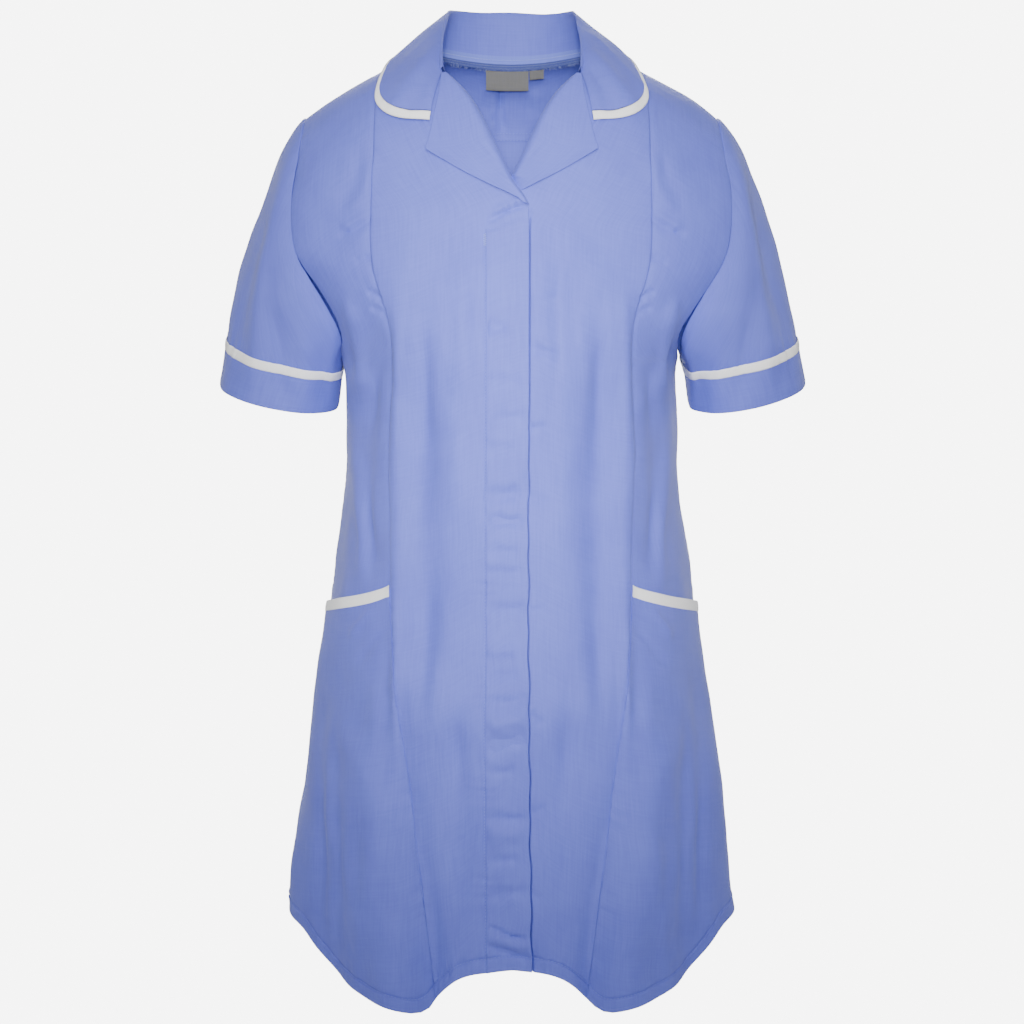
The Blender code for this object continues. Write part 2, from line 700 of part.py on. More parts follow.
def lapel(name, side, cloth, rows):
    """A lapel, the facing turned out over the front. It starts round the front's rolled edge."""
    roll_drop = column(LAPEL_COLUMNS, rows, "roll_drop")
    edge_drop = column(LAPEL_COLUMNS, rows, "edge_drop")
    edge_x = column(LAPEL_COLUMNS, rows, "edge_x")
    widths = np.array((0.0, 0.05, 0.16, 0.36, 0.58, 0.80, 1.0))
    drops = roll_drop[:, None] + (edge_drop - roll_drop)[:, None] * widths
    places = roll_x(roll_drop)[:, None] + (edge_x - roll_x(roll_drop))[:, None] * widths
    root = np.sqrt(drops)
    angle = side * angle_at(places, root)
    surface, normals = body(angle, root), body_normal(angle, root)
    walked = np.linalg.norm(surface - surface[:, :1], axis=2)
    lift = LAYER + 0.0008 + 0.0022 * np.exp(-((walked / 0.012) ** 2))
    points = surface + lift[..., None] * normals
    # The first column goes round the front's edge
    beyond = unit(surface[:, 0] - surface[:, 1])
    points[:, 0] = surface[:, 0] + (WALL + 3 * SEAM_GAP) * beyond
    facing = normals.copy()
    facing[:, 0] = beyond
    facing[:, 1] = unit(normals[:, 1] + 0.35 * beyond)
    wall(f"lapel_{name}", cloth, points, facing)


def neckline(degrees):
    """Places on the neck seam. Zero degrees is the high shoulder point, 90 the centre back, and
    minus signs are in front."""
    turn = np.radians(degrees)
    depth = np.where(degrees < 0, front_neck_root(), math.sqrt(BACK_NECK_DROP))
    return NECK_HALF_WIDTH * np.cos(turn), depth * np.sin(turn)


def collar_stations():
    """The collar's stations from the right front end round the back to the left one."""
    half = {name: column(COLLAR_COLUMNS, COLLAR_ROWS, name) for name in COLLAR_COLUMNS}
    half["neck_x"], half["neck_root"] = neckline(half.pop("neck_degrees"))
    mirrored = ("roll_x", "neck_x", "edge_x")
    return {
        name: np.concatenate([-values if name in mirrored else values, values[-2::-1]])
        for name, values in half.items()
    }


def stand_foot(neck_x, neck_root, roll):
    """Foot of the collar's stand, just inside the neck seam, with its inward direction."""
    inward = unit(-roll * np.array([1.0, 1.0, 0.0]))
    foot = place(neck_x, neck_root, np.zeros(len(roll)))
    clear = WALL + 2 * SEAM_GAP + 0.0014 * (1 - smoothstep((neck_root + 0.10) / 0.06))
    return foot + clear[:, None] * inward + np.array([0.0, 0.0, SEAM_GAP]), inward


def collar_profile(station, shares):
    """Visible side of the collar across its width: up the stand, over the fold, down the fall."""
    roll = np.stack([station["roll_x"], station["roll_y"], station["roll_z"]], -1)
    foot = stand_foot(station["neck_x"], station["neck_root"], roll)[0]
    lift = COLLAR_EDGE_LIFT + 0.0018 * smoothstep((station["edge_root"] + 0.16) / 0.12)
    edge = place(station["edge_x"], station["edge_root"], lift)
    above = place(station["edge_x"], station["edge_root"], lift + 0.01)
    up = unit(roll - foot)
    outward = edge - roll
    outward = unit(outward - np.sum(outward * up, -1, keepdims=True) * up)
    middle = (roll + edge) / 2 + station["bulge"][:, None] * unit(above - edge)
    radius = COLLAR_FOLD_RADIUS
    rows = [foot + (roll - radius * outward - foot) * share for share in (0.0, 0.4, 0.8)]
    for turn in (0.15, 0.5, 0.85):
        angle = math.pi * turn
        rows.append(roll - radius * math.cos(angle) * outward + radius * math.sin(angle) * up)
    start = roll + radius * outward
    for share in shares:
        rows.append(
            start * (1 - share) * (1 - 2 * share)
            + middle * 4 * share * (1 - share)
            + edge * share * (2 * share - 1)
        )
    return np.array(rows)


def collar(cloth, white):
    """The collar, stand and fall in one, and the white binding round its outer edge."""
    points = collar_profile(collar_stations(), np.linspace(0.0, 1.0, 6))
    normals = -grid_normals(points)
    inner = unit(points[-2] - points[-1])
    bound = points[-1] + COLLAR_BINDING_WIDTH * inner
    grid = points.copy()
    grid[-1] = bound + SEAM_GAP * inner
    grid[-2] = (points[-3] + grid[-1]) / 2
    wall("collar", cloth, grid, -grid_normals(grid))
    wall("collar_binding", white, np.array([bound, points[-1]]), normals[-2:], 1.3 * WALL)


def neck_trim(tape, grey):
    """The tape over the back neck seam, and the two blank labels below it."""
    station = collar_stations()
    first = sum(row[COLLAR_COLUMNS.index("neck_degrees")] < 10 for row in COLLAR_ROWS)
    back = slice(first, len(station["roll_x"]) - first)
    x, neck_root = station["neck_x"][back], station["neck_root"][back]
    stand = collar_profile(station, (0.0, 1.0))[:2, back]
    roll = np.stack([station["roll_x"], station["roll_y"], station["roll_z"]], -1)[back]
    foot, inward = stand_foot(x, neck_root, roll)
    up = unit(stand[1] - stand[0])
    level = np.zeros(len(x))
    neck = place(x, neck_root, level)
    down = unit(place(x, neck_root + 0.01, level) - neck)
    facing = unit(place(x, neck_root, level + 0.01) - neck)
    off = 2 * SEAM_GAP + TAPE_THICKNESS
    rows = np.array(
        [
            foot + 0.0045 * up + off * inward,
            foot + off * inward - (WALL + off) * up,
            neck + (TAPE_WIDTH - 0.0045) * down - (WALL + 2 * off) * facing,
        ]
    )
    sides = np.array([inward, unit(inward - facing), -facing])
    wall("neck_tape", tape, rows, sides, TAPE_THICKNESS)

    def tag(name, left, width, height):
        """A blank label that hangs from just below the tape."""
        across = left + width * np.array([0.0, 0.5, 1.0])
        top = np.stack([np.interp(across, rows[2, :, 0], rows[2, :, axis]) for axis in range(3)], -1)
        falls = np.stack([np.interp(across, x, down[:, axis]) for axis in range(3)], -1)
        hang = unit(0.42 * falls + 0.58 * np.array([0.0, 0.0, -1.0]))
        grid = np.array([top + (2 * SEAM_GAP + height * share) * hang for share in (0.0, 0.5, 1.0)])
        wall(name, grey, grid, -grid_normals(grid), TAPE_THICKNESS)

    tag("neck_label", LABEL_LEFT_X, LABEL_WIDTH, LABEL_HEIGHT)
    tag("size_label", LABEL_LEFT_X + LABEL_WIDTH + 2 * SEAM_GAP, SIZE_TAG_WIDTH, SIZE_TAG_HEIGHT)


def main():
    for old in list(bpy.data.objects):
        bpy.data.objects.remove(old)
    cloth = fabric("tunic_cloth", CLOTH_BLUE, 0.85)
    white = fabric("white_binding", BINDING_WHITE, 0.80)
    tape = fabric("neck_tape", TAPE_BLUE, 0.90)
    grey = fabric("label_grey", LABEL_GREY, 0.75)
    centre_fronts(cloth)
    backs(cloth)
    for name, side in (("left", 1), ("right", -1)):
        side_front(name, side, cloth)
        sleeve(name, side, cloth, white)
        pocket(name, side, cloth, white)
    lapel("right", -1, cloth, LAPEL_RIGHT_ROWS)
    lapel("left", 1, cloth, LAPEL_LEFT_ROWS)
    collar(cloth, white)
    neck_trim(tape, grey)


main()
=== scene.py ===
"""Looks of the maternity tunic: every panel as a thin shell of woven cloth on its solid's form."""
import math

import bmesh
import bpy
import numpy as np
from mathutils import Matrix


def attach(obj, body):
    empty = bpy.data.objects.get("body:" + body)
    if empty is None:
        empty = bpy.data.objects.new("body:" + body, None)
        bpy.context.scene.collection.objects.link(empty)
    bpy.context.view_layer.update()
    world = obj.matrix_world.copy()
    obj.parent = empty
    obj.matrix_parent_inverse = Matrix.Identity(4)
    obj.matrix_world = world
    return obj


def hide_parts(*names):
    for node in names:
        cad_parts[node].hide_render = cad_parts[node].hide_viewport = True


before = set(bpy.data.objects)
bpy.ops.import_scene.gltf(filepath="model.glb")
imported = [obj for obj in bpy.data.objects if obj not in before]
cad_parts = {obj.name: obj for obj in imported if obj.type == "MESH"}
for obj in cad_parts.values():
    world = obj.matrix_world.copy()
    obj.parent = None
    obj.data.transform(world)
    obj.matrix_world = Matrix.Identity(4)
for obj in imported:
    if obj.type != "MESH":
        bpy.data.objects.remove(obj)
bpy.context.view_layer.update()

# Cloth and seams, the same sizes as the solids
WALL = 0.0012
SEAM_GAP = 0.0004
LAYER = WALL + SEAM_GAP
TAPE_THICKNESS = 0.0009
NECK_HALF_WIDTH = 0.070
BACK_NECK_DROP = 0.008
SHOULDER_TIP_X = 0.176
YOKE_DROP = 0.0755
FLY_EDGE_X = 0.0142
UNDERLAP_X = -0.0217
SIDE_SEAM_DEGREES = 94.0
COLLAR_BINDING_WIDTH = 0.0078
CUFF_DEPTH = 0.0305
CUFF_BINDING_WIDTH = 0.0078
TAPE_WIDTH = 0.012
LABEL_WIDTH, LABEL_HEIGHT = 0.037, 0.019
SIZE_TAG_WIDTH, SIZE_TAG_HEIGHT = 0.0125, 0.009
LABEL_LEFT_X = -0.0222
UNDERARM_DROP = 0.260
HEM_LEVEL = 0.780
FRONT_EDGE_HEM, PRINCESS_HEM, MIDDLE_HEM = 0.765, 0.796, 0.790
BOXINESS = 0.15
SHOULDER_SLOPE, SHOULDER_CURVE, SHOULDER_EASE = 0.43, 1.15, 0.012
SHOULDER_DEPTH = 0.22
FOLDS_LEAN_FROM = 0.42
BUST_HEIGHT, BUST_X, BUST_WIDTH, BUST_DROP, BUST_LENGTH = 0.011, 0.082, 0.050, 0.238, 0.058
COLLAR_EDGE_LIFT = 0.0032
COLLAR_FOLD_RADIUS = 0.0022

# The shown cloth: its own thickness, and how its edges are finished
CLOTH, DOUBLED_CLOTH = 0.0007, 0.0009
BINDING_DOME = 0.00035
GROOVE, SEAM_HALF, SOFT_SINK = 0.00060, 0.00016, 0.00022
ALLOWANCE, ARMHOLE_ALLOWANCE = 0.0024, 0.0045
EDGE_STEPS = np.array([0.0003, 0.0008, 0.0016, 0.0028])
HEM_STITCH, HEM_FULLNESS = 0.0125, 0.0008
HEM_STEPS_OVER_STITCH = np.array([0.0095, 0.0105, 0.0113, 0.0119, 0.0125, 0.0131, 0.0137, 0.0145, 0.0155])
FLY_STITCH_X = -0.0213
YOKE_STITCHES = (0.0016, 0.0070)
TAPE_STITCHES = (0.0035, 0.0098)
FLY_REACH, FRONT_SPAN = 0.044, 0.0787
ROLL_END_DROP, UNDERLAP_DROP = 0.134, 0.122
FOLD_STRENGTH, PUCKER_STRENGTH = 2.2, 1.9
FOLD_RADIUS, HEM_RADIUS = 0.0007, 0.0009

BODY_COLUMNS = ("drop", "half_width", "front", "back")
BODY_ROWS = (
    (0.000, 0.205, 0.000, 0.000),
    (0.005, 0.205, 0.032, 0.039),
    (0.010, 0.205, 0.044, 0.0545),
    (0.020, 0.205, 0.060, 0.067),
    (0.040, 0.206, 0.079, 0.080),
    (0.070, 0.208, 0.094, 0.091),
    (0.100, 0.212, 0.103, 0.098),
    (0.140, 0.215, 0.111, 0.103),
    (0.178, 0.206, 0.117, 0.105),
    (0.202, 0.187, 0.121, 0.104),
    (0.224, 0.167, 0.124, 0.101),
    (0.245, 0.1505, 0.127, 0.098),
    (0.262, 0.1435, 0.129, 0.096),
    (0.320, 0.1407, 0.131, 0.090),
    (0.360, 0.1417, 0.133, 0.088),
    (0.400, 0.1472, 0.137, 0.090),
    (0.450, 0.1547, 0.143, 0.096),
    (0.500, 0.1605, 0.149, 0.104),
    (0.560, 0.1695, 0.152, 0.112),
    (0.620, 0.1790, 0.151, 0.119),
    (0.680, 0.1867, 0.147, 0.124),
    (0.740, 0.1920, 0.142, 0.127),
    (0.805, 0.1950, 0.138, 0.129),
)
HEM_COLUMNS = ("degrees", "drop")
HEM_ROWS = (
    (0.0, 0.7583),
    (8.0, 0.7615),
    (13.5, 0.7680),
    (17.0, 0.7785),
    (19.5, 0.7880),
    (22.0, 0.7962),
    (26.0, 0.7964),
    (34.0, 0.7922),
    (44.0, 0.7852),
    (52.0, 0.7765),
    (58.0, 0.7620),
    (65.0, 0.7460),
    (72.0, 0.7390),
    (84.0, 0.7352),
    (96.0, 0.7366),
    (125.0, 0.7500),
    (150.0, 0.7590),
    (180.0, 0.7640),
)
PRINCESS_COLUMNS = ("drop", "x")
PRINCESS_ROWS = (
    (0.000, 0.1128),
    (0.100, 0.1136),
    (0.154, 0.1150),
    (0.185, 0.1125),
    (0.212, 0.1050),
    (0.230, 0.1005),
    (0.250, 0.0990),
    (0.330, 0.0997),
    (0.400, 0.0993),
    (0.450, 0.0983),
    (0.500, 0.0945),
    (0.566, 0.0878),
    (0.645, 0.0800),
    (0.727, 0.0715),
    (0.800, 0.0645),
)
ARMHOLE_COLUMNS = ("drop", "front_degrees", "back_degrees")
ARMHOLE_ROWS = (
    (0.000, 58.3, 58.3),
    (0.040, 58.5, 58.8),
    (0.094, 58.9, 59.2),
    (0.132, 57.7, 58.3),
    (0.160, 57.1, 57.8),
    (0.190, 57.8, 58.6),
    (0.205, 59.3, 60.2),
    (0.224, 62.4, 63.2),
    (0.243, 67.8, 68.6),
    (0.2545, 75.5, 76.0),
    (0.260, 90.0, 90.0),
)
ROLL_COLUMNS = ("drop", "x")
ROLL_ROWS = (
    (0.0238, 0.0560),
    (0.0365, 0.0420),
    (0.0446, 0.0352),
    (0.0610, 0.0252),
    (0.0806, 0.0157),
    (0.1000, 0.0065),
    (0.1140, -0.0008),
    (0.1245, -0.0084),
    (0.1340, -0.0137),
)
# The lapels' free edges, each row roll_drop, edge_drop, edge_x
LAPEL_TOP_ROWS = (
    (0.0262, 0.0262, 0.0570),
    (0.0330, 0.0409, 0.0595),
    (0.0446, 0.0560, 0.0628),
    (0.0580, 0.0698, 0.0658),
    (0.0700, 0.0795, 0.0682),
    (0.0800, 0.0857, 0.0703),
    (0.0880, 0.0918, 0.0608),
    (0.0960, 0.0985, 0.0497),
)
LAPEL_RIGHT_ROWS = LAPEL_TOP_ROWS + (
    (0.1030, 0.1051, 0.0382),
    (0.1095, 0.1115, 0.0253),
    (0.1150, 0.1163, 0.0157),
    (0.1205, 0.1211, 0.0052),
    (0.1265, 0.1264, -0.0050),
    (0.1312, 0.1306, -0.0097),
)
LAPEL_LEFT_ROWS = LAPEL_TOP_ROWS + (
    (0.1020, 0.1051, 0.0382),
    (0.1065, 0.1115, 0.0253),
    (0.1090, 0.1163, 0.0157),
    (0.1098, 0.1192, 0.0095),
    (0.1150, 0.1228, 0.0020),
)
# The skirt's folds, each row top_degrees, hem_degrees, width, height, start_drop
FOLD_ROWS = (
    (39.0, 20.4, 3.6, -0.0110, 0.540),
    (47.0, 30.0, 7.5, 0.0100, 0.500),
    (58.0, 53.0, 7.0, -0.0110, 0.470),
    (76.0, 76.0, 9.0, 0.0060, 0.440),
    (100.0, 101.0, 9.0, -0.0060, 0.440),
    (120.0, 122.0, 10.0, 0.0085, 0.420),
    (141.0, 143.0, 9.0, -0.0080, 0.420),
    (160.0, 162.0, 9.0, 0.0075, 0.420),
)
COLLAR_COLUMNS = ("roll_x", "roll_y", "roll_z", "neck_degrees", "edge_x", "edge_root", "bulge")
COLLAR_ROWS = (
    (0.0568, -0.0615, -0.0210, -35.0, 0.0666, -0.2500, 0.0042),
    (0.0583, -0.0530, -0.0126, -28.0, 0.0844, -0.2420, 0.0080),
    (0.0584, -0.0370, -0.0004, -19.0, 0.1002, -0.2240, 0.0083),
    (0.0572, -0.0200, 0.0108, -10.0, 0.1098, -0.1930, 0.0068),
    (0.0556, -0.0030, 0.0208, 0.0, 0.1116, -0.1480, 0.0034),
    (0.0538, 0.0180, 0.0298, 15.0, 0.1048, -0.0700, 0.0022),
    (0.0498, 0.0360, 0.0324, 30.0, 0.0978, 0.0080, 0.0024),
    (0.0400, 0.0485, 0.0326, 46.0, 0.0886, 0.0900, 0.0032),
    (0.0275, 0.0555, 0.0324, 61.0, 0.0704, 0.1550, 0.0038),
    (0.0138, 0.0588, 0.0324, 76.0, 0.0400, 0.1950, 0.0042),
    (0.0000, 0.0597, 0.0324, 90.0, 0.0000, 0.2060, 0.0042),
)
CUFF_CENTRE = (0.2006, 0.000, -0.2890)
CUFF_ACROSS = (0.0505, 0.000, 0.0105)
CUFF_FORWARD = (0.000, -0.0555, -0.0122)
SLEEVE_TOP_AXIS = np.array((0.238, 0.000, -0.971))
SLEEVE_UNDER_AXIS = np.array((0.170, 0.000, -1.000))
LEAVE_TOP, LEAVE_UNDER = np.array((0.096, 0.000, -0.078)), np.array((0.010, 0.000, -0.034))
UPPER_LEVELS = (
    0.0, 0.0035, 0.013, 0.027, 0.045, 0.065, 0.087, 0.110, 0.134, 0.157, 0.180, 0.203, 0.224, 0.243,
    0.2545, UNDERARM_DROP,
)
# Levels of the skirt at the princess seam and at the side seam
SKIRT_ROWS = (
    (0.2900, 0.2900),
    (0.3280, 0.3310),
    (0.3660, 0.3760),
    (0.4040, 0.4265),
    (0.4410, 0.4735),
    (0.4505, 0.4830),
)
MOUTH_ROW = len(UPPER_LEVELS) + 4
HEM_STEPS = 7
BAG_STEPS = 4
BACK_LEVELS = (0.095, 0.124, 0.152, 0.178, 0.203, 0.224, 0.243, 0.2545, UNDERARM_DROP)

# Creases, each row x1, z1, x2, z2, bow, width, height: along a line from (x1, z1) to (x2, z2), in metres.
# A bow bends the line, and a minus height makes a trough. The front ones stand on both sides of the centre.
FRONT_CREASES = (
    (0.0935, -0.215, 0.0935, -0.600, 0.0012, 0.0085, 0.0022),
    (0.0715, -0.205, 0.0705, -0.560, -0.0020, 0.0165, -0.0028),
    (0.1400, -0.545, 0.1420, -0.760, 0.0000, 0.0220, 0.0028),
    (-0.0200, -0.548, 0.0900, -0.540, 0.0000, 0.0400, 0.0026),
    (0.0400, -0.150, 0.0450, -0.370, 0.0030, 0.0150, 0.0016),
    (0.0480, -0.520, 0.0420, -0.700, 0.0020, 0.0140, -0.0016),
    (0.0800, -0.640, 0.0660, -0.760, 0.0000, 0.0060, 0.0012),
    (0.1150, -0.1425, 0.1420, -0.1555, 0.0020, 0.0030, -0.0010),
    (0.1150, -0.1365, 0.1390, -0.1480, 0.0020, 0.0040, 0.0008),
    (0.1140, -0.1720, 0.1269, -0.1765, 0.0010, 0.0024, -0.0009),
    (0.1323, -0.1400, 0.1140, -0.0950, -0.0040, 0.0080, 0.0007),
    (0.1390, -0.1300, 0.1230, -0.0850, -0.0040, 0.0080, -0.0005),
    (0.1180, -0.2010, 0.1066, -0.2083, 0.0010, 0.0030, -0.0010),
    (0.1160, -0.2150, 0.1035, -0.2200, 0.0010, 0.0030, -0.0007),
    (0.1350, -0.2100, 0.1250, -0.2900, 0.0030, 0.0080, 0.0020),
    (0.1130, -0.2700, 0.1170, -0.4300, -0.0040, 0.0090, -0.0018),
    (0.1300, -0.3300, 0.1250, -0.4500, 0.0020, 0.0070, 0.0014),
    (0.1310, -0.4900, 0.1140, -0.4640, 0.0020, 0.0035, 0.0010),
    (0.1250, -0.5100, 0.1000, -0.4760, 0.0020, 0.0040, -0.0007),
    (0.1540, -0.5300, 0.1580, -0.7500, -0.0020, 0.0080, -0.0015),
    (0.1425, -0.5600, 0.1410, -0.7600, 0.0020, 0.0075, -0.0019),
    (0.1480, -0.6000, 0.1500, -0.7500, 0.0000, 0.0040, 0.0006),
    (0.1230, -0.5700, 0.1190, -0.7300, 0.0030, 0.0100, 0.0010),
    (0.1280, -0.7150, 0.1385, -0.7800, 0.0015, 0.0028, -0.0007),
    (0.1240, -0.7050, 0.1340, -0.7800, 0.0015, 0.0045, 0.0006),
    (0.1000, -0.6310, 0.1380, -0.6350, 0.0010, 0.0035, 0.0003),
    (0.1100, -0.5200, 0.1150, -0.6900, 0.0040, 0.0140, 0.0016),
    (0.0660, -0.0700, 0.0730, -0.0600, 0.0000, 0.0022, 0.0006),
)
# The same, but where they are said to be and not mirrored: over the fly, on the left front, on the back
FLY_CREASES = (
    (0.0135, -0.1310, -0.0206, -0.1452, 0.0012, 0.0024, -0.0013),
    (0.0135, -0.1265, -0.0160, -0.1385, 0.0012, 0.0026, 0.0010),
    (0.0120, -0.1450, -0.0206, -0.1560, 0.0010, 0.0030, 0.0007),
    (-0.0200, -0.1508, -0.0060, -0.1508, 0.0000, 0.0014, -0.0009),
    (-0.0190, -0.2294, -0.0040, -0.2300, 0.0000, 0.0075, -0.0013),
    (-0.0190, -0.2743, 0.0080, -0.2720, 0.0003, 0.0084, -0.0009),
    (-0.0150, -0.3032, 0.0110, -0.3015, 0.0003, 0.0066, -0.0009),
    (-0.0195, -0.3190, 0.0030, -0.3215, 0.0000, 0.0056, 0.0007),
    (-0.0215, -0.3660, 0.0080, -0.3640, 0.0005, 0.0090, -0.0015),
    (-0.0215, -0.3540, 0.0110, -0.3520, 0.0000, 0.0090, 0.0009),
    (-0.0195, -0.3850, 0.0100, -0.3868, 0.0004, 0.0066, -0.0018),
    (-0.0190, -0.4095, 0.0060, -0.4120, 0.0003, 0.0066, -0.0013),
    (-0.0195, -0.4276, 0.0100, -0.4262, 0.0003, 0.0056, -0.0011),
    (-0.0195, -0.4583, 0.0130, -0.4560, -0.0003, 0.0060, -0.0011),
    (-0.0195, -0.4907, 0.0060, -0.4890, 0.0003, 0.0066, 0.0013),
    (-0.0195, -0.5120, 0.0060, -0.5090, 0.0003, 0.0056, -0.0010),
    (-0.0195, -0.5347, 0.0130, -0.5290, 0.0005, 0.0084, -0.0015),
    (-0.0215, -0.5680, 0.0130, -0.5600, 0.0007, 0.0100, -0.0019),
    (-0.0190, -0.5500, 0.0130, -0.5440, 0.0000, 0.0084, 0.0015),
    (-0.0195, -0.5900, 0.0020, -0.5880, 0.0003, 0.0056, -0.0010),
    (-0.0195, -0.6278, 0.0120, -0.6300, -0.0004, 0.0056, -0.0014),
    (-0.0195, -0.6420, 0.0120, -0.6400, 0.0003, 0.0112, 0.0013),
    (-0.0195, -0.6640, 0.0060, -0.6620, 0.0003, 0.0056, -0.0011),
    (-0.0195, -0.6930, 0.0130, -0.6890, 0.0005, 0.0075, -0.0014),
    (-0.0195, -0.7200, 0.0140, -0.7320, 0.0016, 0.0020, -0.0015),
    (-0.0195, -0.7290, 0.0140, -0.7390, 0.0008, 0.0066, 0.0015),
    (-0.0195, -0.7375, 0.0130, -0.7470, 0.0006, 0.0056, -0.0018),
)
UNDER_FRONT_CREASES = (
    (0.0150, -0.2454, 0.0380, -0.2520, 0.0010, 0.0060, -0.0012),
    (0.0150, -0.2100, 0.0420, -0.2050, 0.0010, 0.0050, 0.0006),
    (0.0150, -0.3104, 0.0260, -0.3090, 0.0010, 0.0035, -0.0009),
    (0.0150, -0.3650, 0.0300, -0.3720, 0.0010, 0.0045, -0.0007),
    (0.0150, -0.4580, 0.0280, -0.4550, 0.0010, 0.0035, -0.0007),
    (0.0150, -0.5400, 0.0260, -0.5500, 0.0010, 0.0050, -0.0009),
    (0.0150, -0.6250, 0.0280, -0.6180, 0.0010, 0.0040, -0.0008),
    (0.0150, -0.6900, 0.0260, -0.6980, 0.0010, 0.0040, -0.0008),
)
BACK_CREASES = (
    (-0.010, -0.020, -0.008, -0.070, 0.000, 0.0035, 0.0016),
    (-0.018, -0.025, -0.015, -0.070, 0.001, 0.0040, -0.0010),
    (0.020, -0.030, 0.026, -0.068, 0.000, 0.0060, -0.0007),
    (-0.150, -0.110, -0.095, -0.200, 0.006, 0.0080, -0.0030),
    (0.148, -0.120, 0.100, -0.215, -0.006, 0.0085, -0.0026),
    (-0.140, -0.160, -0.110, -0.260, 0.004, 0.0070, 0.0020),
    (0.142, -0.170, 0.105, -0.275, -0.004, 0.0070, 0.0018),
    (-0.060, -0.250, -0.072, -0.430, 0.004, 0.0120, -0.0030),
    (0.066, -0.270, 0.070, -0.460, -0.004, 0.0120, -0.0026),
    (0.018, -0.300, 0.024, -0.480, 0.004, 0.0110, -0.0020),
    (-0.020, -0.330, -0.026, -0.520, 0.003, 0.0100, 0.0018),
    (-0.100, -0.330, -0.105, -0.480, 0.003, 0.0090, 0.0022),
    (0.104, -0.340, 0.108, -0.500, -0.003, 0.0090, 0.0020),
    (-0.130, -0.280, -0.050, -0.312, 0.006, 0.0085, -0.0010),
    (0.128, -0.295, 0.060, -0.325, -0.006, 0.0090, -0.0009),
    (-0.100, -0.362, -0.025, -0.374, 0.004, 0.0090, -0.0006),
    (0.096, -0.346, 0.030, -0.364, -0.004, 0.0085, -0.0007),
    (-0.050, -0.560, -0.058, -0.730, 0.003, 0.0100, -0.0022),
    (0.046, -0.540, 0.052, -0.720, -0.003, 0.0100, -0.0020),
    (0.004, -0.560, 0.008, -0.740, 0.002, 0.0110, -0.0018),
    (-0.110, -0.600, -0.122, -0.740, 0.003, 0.0070, -0.0018),
    (0.112, -0.620, 0.120, -0.740, -0.003, 0.0070, -0.0020),
)
# Soft folds of a sleeve, each row degrees, lean, start, end, width, height: degrees round from the outer
# edge, to the front, how far it leans on its way down, shares of the sleeve's length, and width in degrees
SLEEVE_FOLDS = (
    (38.0, 6.0, 0.05, 0.90, 11.0, -0.0022),
    (64.0, 8.0, 0.10, 1.00, 11.0, 0.0024),
    (92.0, 12.0, 0.25, 1.05, 10.0, -0.0026),
    (118.0, 8.0, 0.15, 0.95, 10.0, 0.0020),
    (140.0, 6.0, 0.05, 0.80, 9.0, -0.0022),
    (-36.0, -5.0, 0.05, 0.95, 12.0, -0.0018),
    (-66.0, -8.0, 0.15, 1.00, 11.0, 0.0024),
    (-96.0, -9.0, 0.20, 1.05, 11.0, -0.0026),
    (-126.0, -7.0, 0.10, 0.90, 10.0, 0.0020),
    (8.0, 4.0, 0.20, 1.00, 12.0, 0.0010),
)


def column(columns, rows, name):
    return np.array([row[columns.index(name)] for row in rows], float)


def spline(at, xs, ys):
    """Values on the natural cubic spline through the points (xs, ys)."""
    count, gap = len(xs), np.diff(xs)
    matrix, right = np.eye(count), np.zeros(count)
    for i in range(1, count - 1):
        matrix[i, i - 1 : i + 2] = gap[i - 1], 2 * (gap[i - 1] + gap[i]), gap[i]
        right[i] = 6 * ((ys[i + 1] - ys[i]) / gap[i] - (ys[i] - ys[i - 1]) / gap[i - 1])
    bend = np.linalg.solve(matrix, right)
    at = np.asarray(at, float)
    i = np.clip(np.searchsorted(xs, at) - 1, 0, count - 2)
    low, high, span = at - xs[i], xs[i + 1] - at, gap[i]
    cubic = (bend[i] * high**3 + bend[i + 1] * low**3) / (6 * span)
    from_first = (ys[i] / span - bend[i] * span / 6) * high
    from_second = (ys[i + 1] / span - bend[i + 1] * span / 6) * low
    return cubic + from_first + from_second


def through(at, columns, rows):
    """Values of a table's second column at values of its first, on a smooth line."""
    return spline(at, *(column(columns, rows, name) for name in columns))


def smoothstep(t):
    t = np.clip(t, 0.0, 1.0)
    return t * t * (3 - 2 * t)


def bell(x, width):
    """A soft bump of height 1."""
    return np.exp(-((x / width) ** 2))


def unit(vectors):
    return vectors / np.maximum(np.linalg.norm(vectors, axis=-1, keepdims=True), 1e-12)


def run(line):
    """Distances along a line of points, from its start."""
    return np.concatenate([[0.0], np.cumsum(np.linalg.norm(np.diff(line, axis=0), axis=1))])


def walked(points, axis):
    """The same along every row or column of a grid."""
    steps = np.linalg.norm(np.diff(points, axis=axis), axis=2)
    total = np.cumsum(steps, axis)
    zero = np.zeros_like(np.take(total, [0], axis))
    return np.concatenate([zero, total], axis)


def points_at(distance, along, line):
    """Points of a line at distances along it."""
    return np.stack([np.interp(distance, along, line[:, axis]) for axis in range(3)], -1)


def between(rows, low, part):
    """Rows a part of the way from the low rows to the next."""
    return rows[low] * (1 - part) + rows[low + 1] * part


def section(root):
    roots = np.sqrt(column(BODY_COLUMNS, BODY_ROWS, "drop"))
    return [spline(root, roots, column(BODY_COLUMNS, BODY_ROWS, name)) for name in BODY_COLUMNS[1:]]


def shoulder_fall(x):
    out = np.abs(x) - NECK_HALF_WIDTH
    out = (out + np.sqrt(out**2 + SHOULDER_EASE**2)) / 2
    return -(SHOULDER_SLOPE * out + SHOULDER_CURVE * out**2)


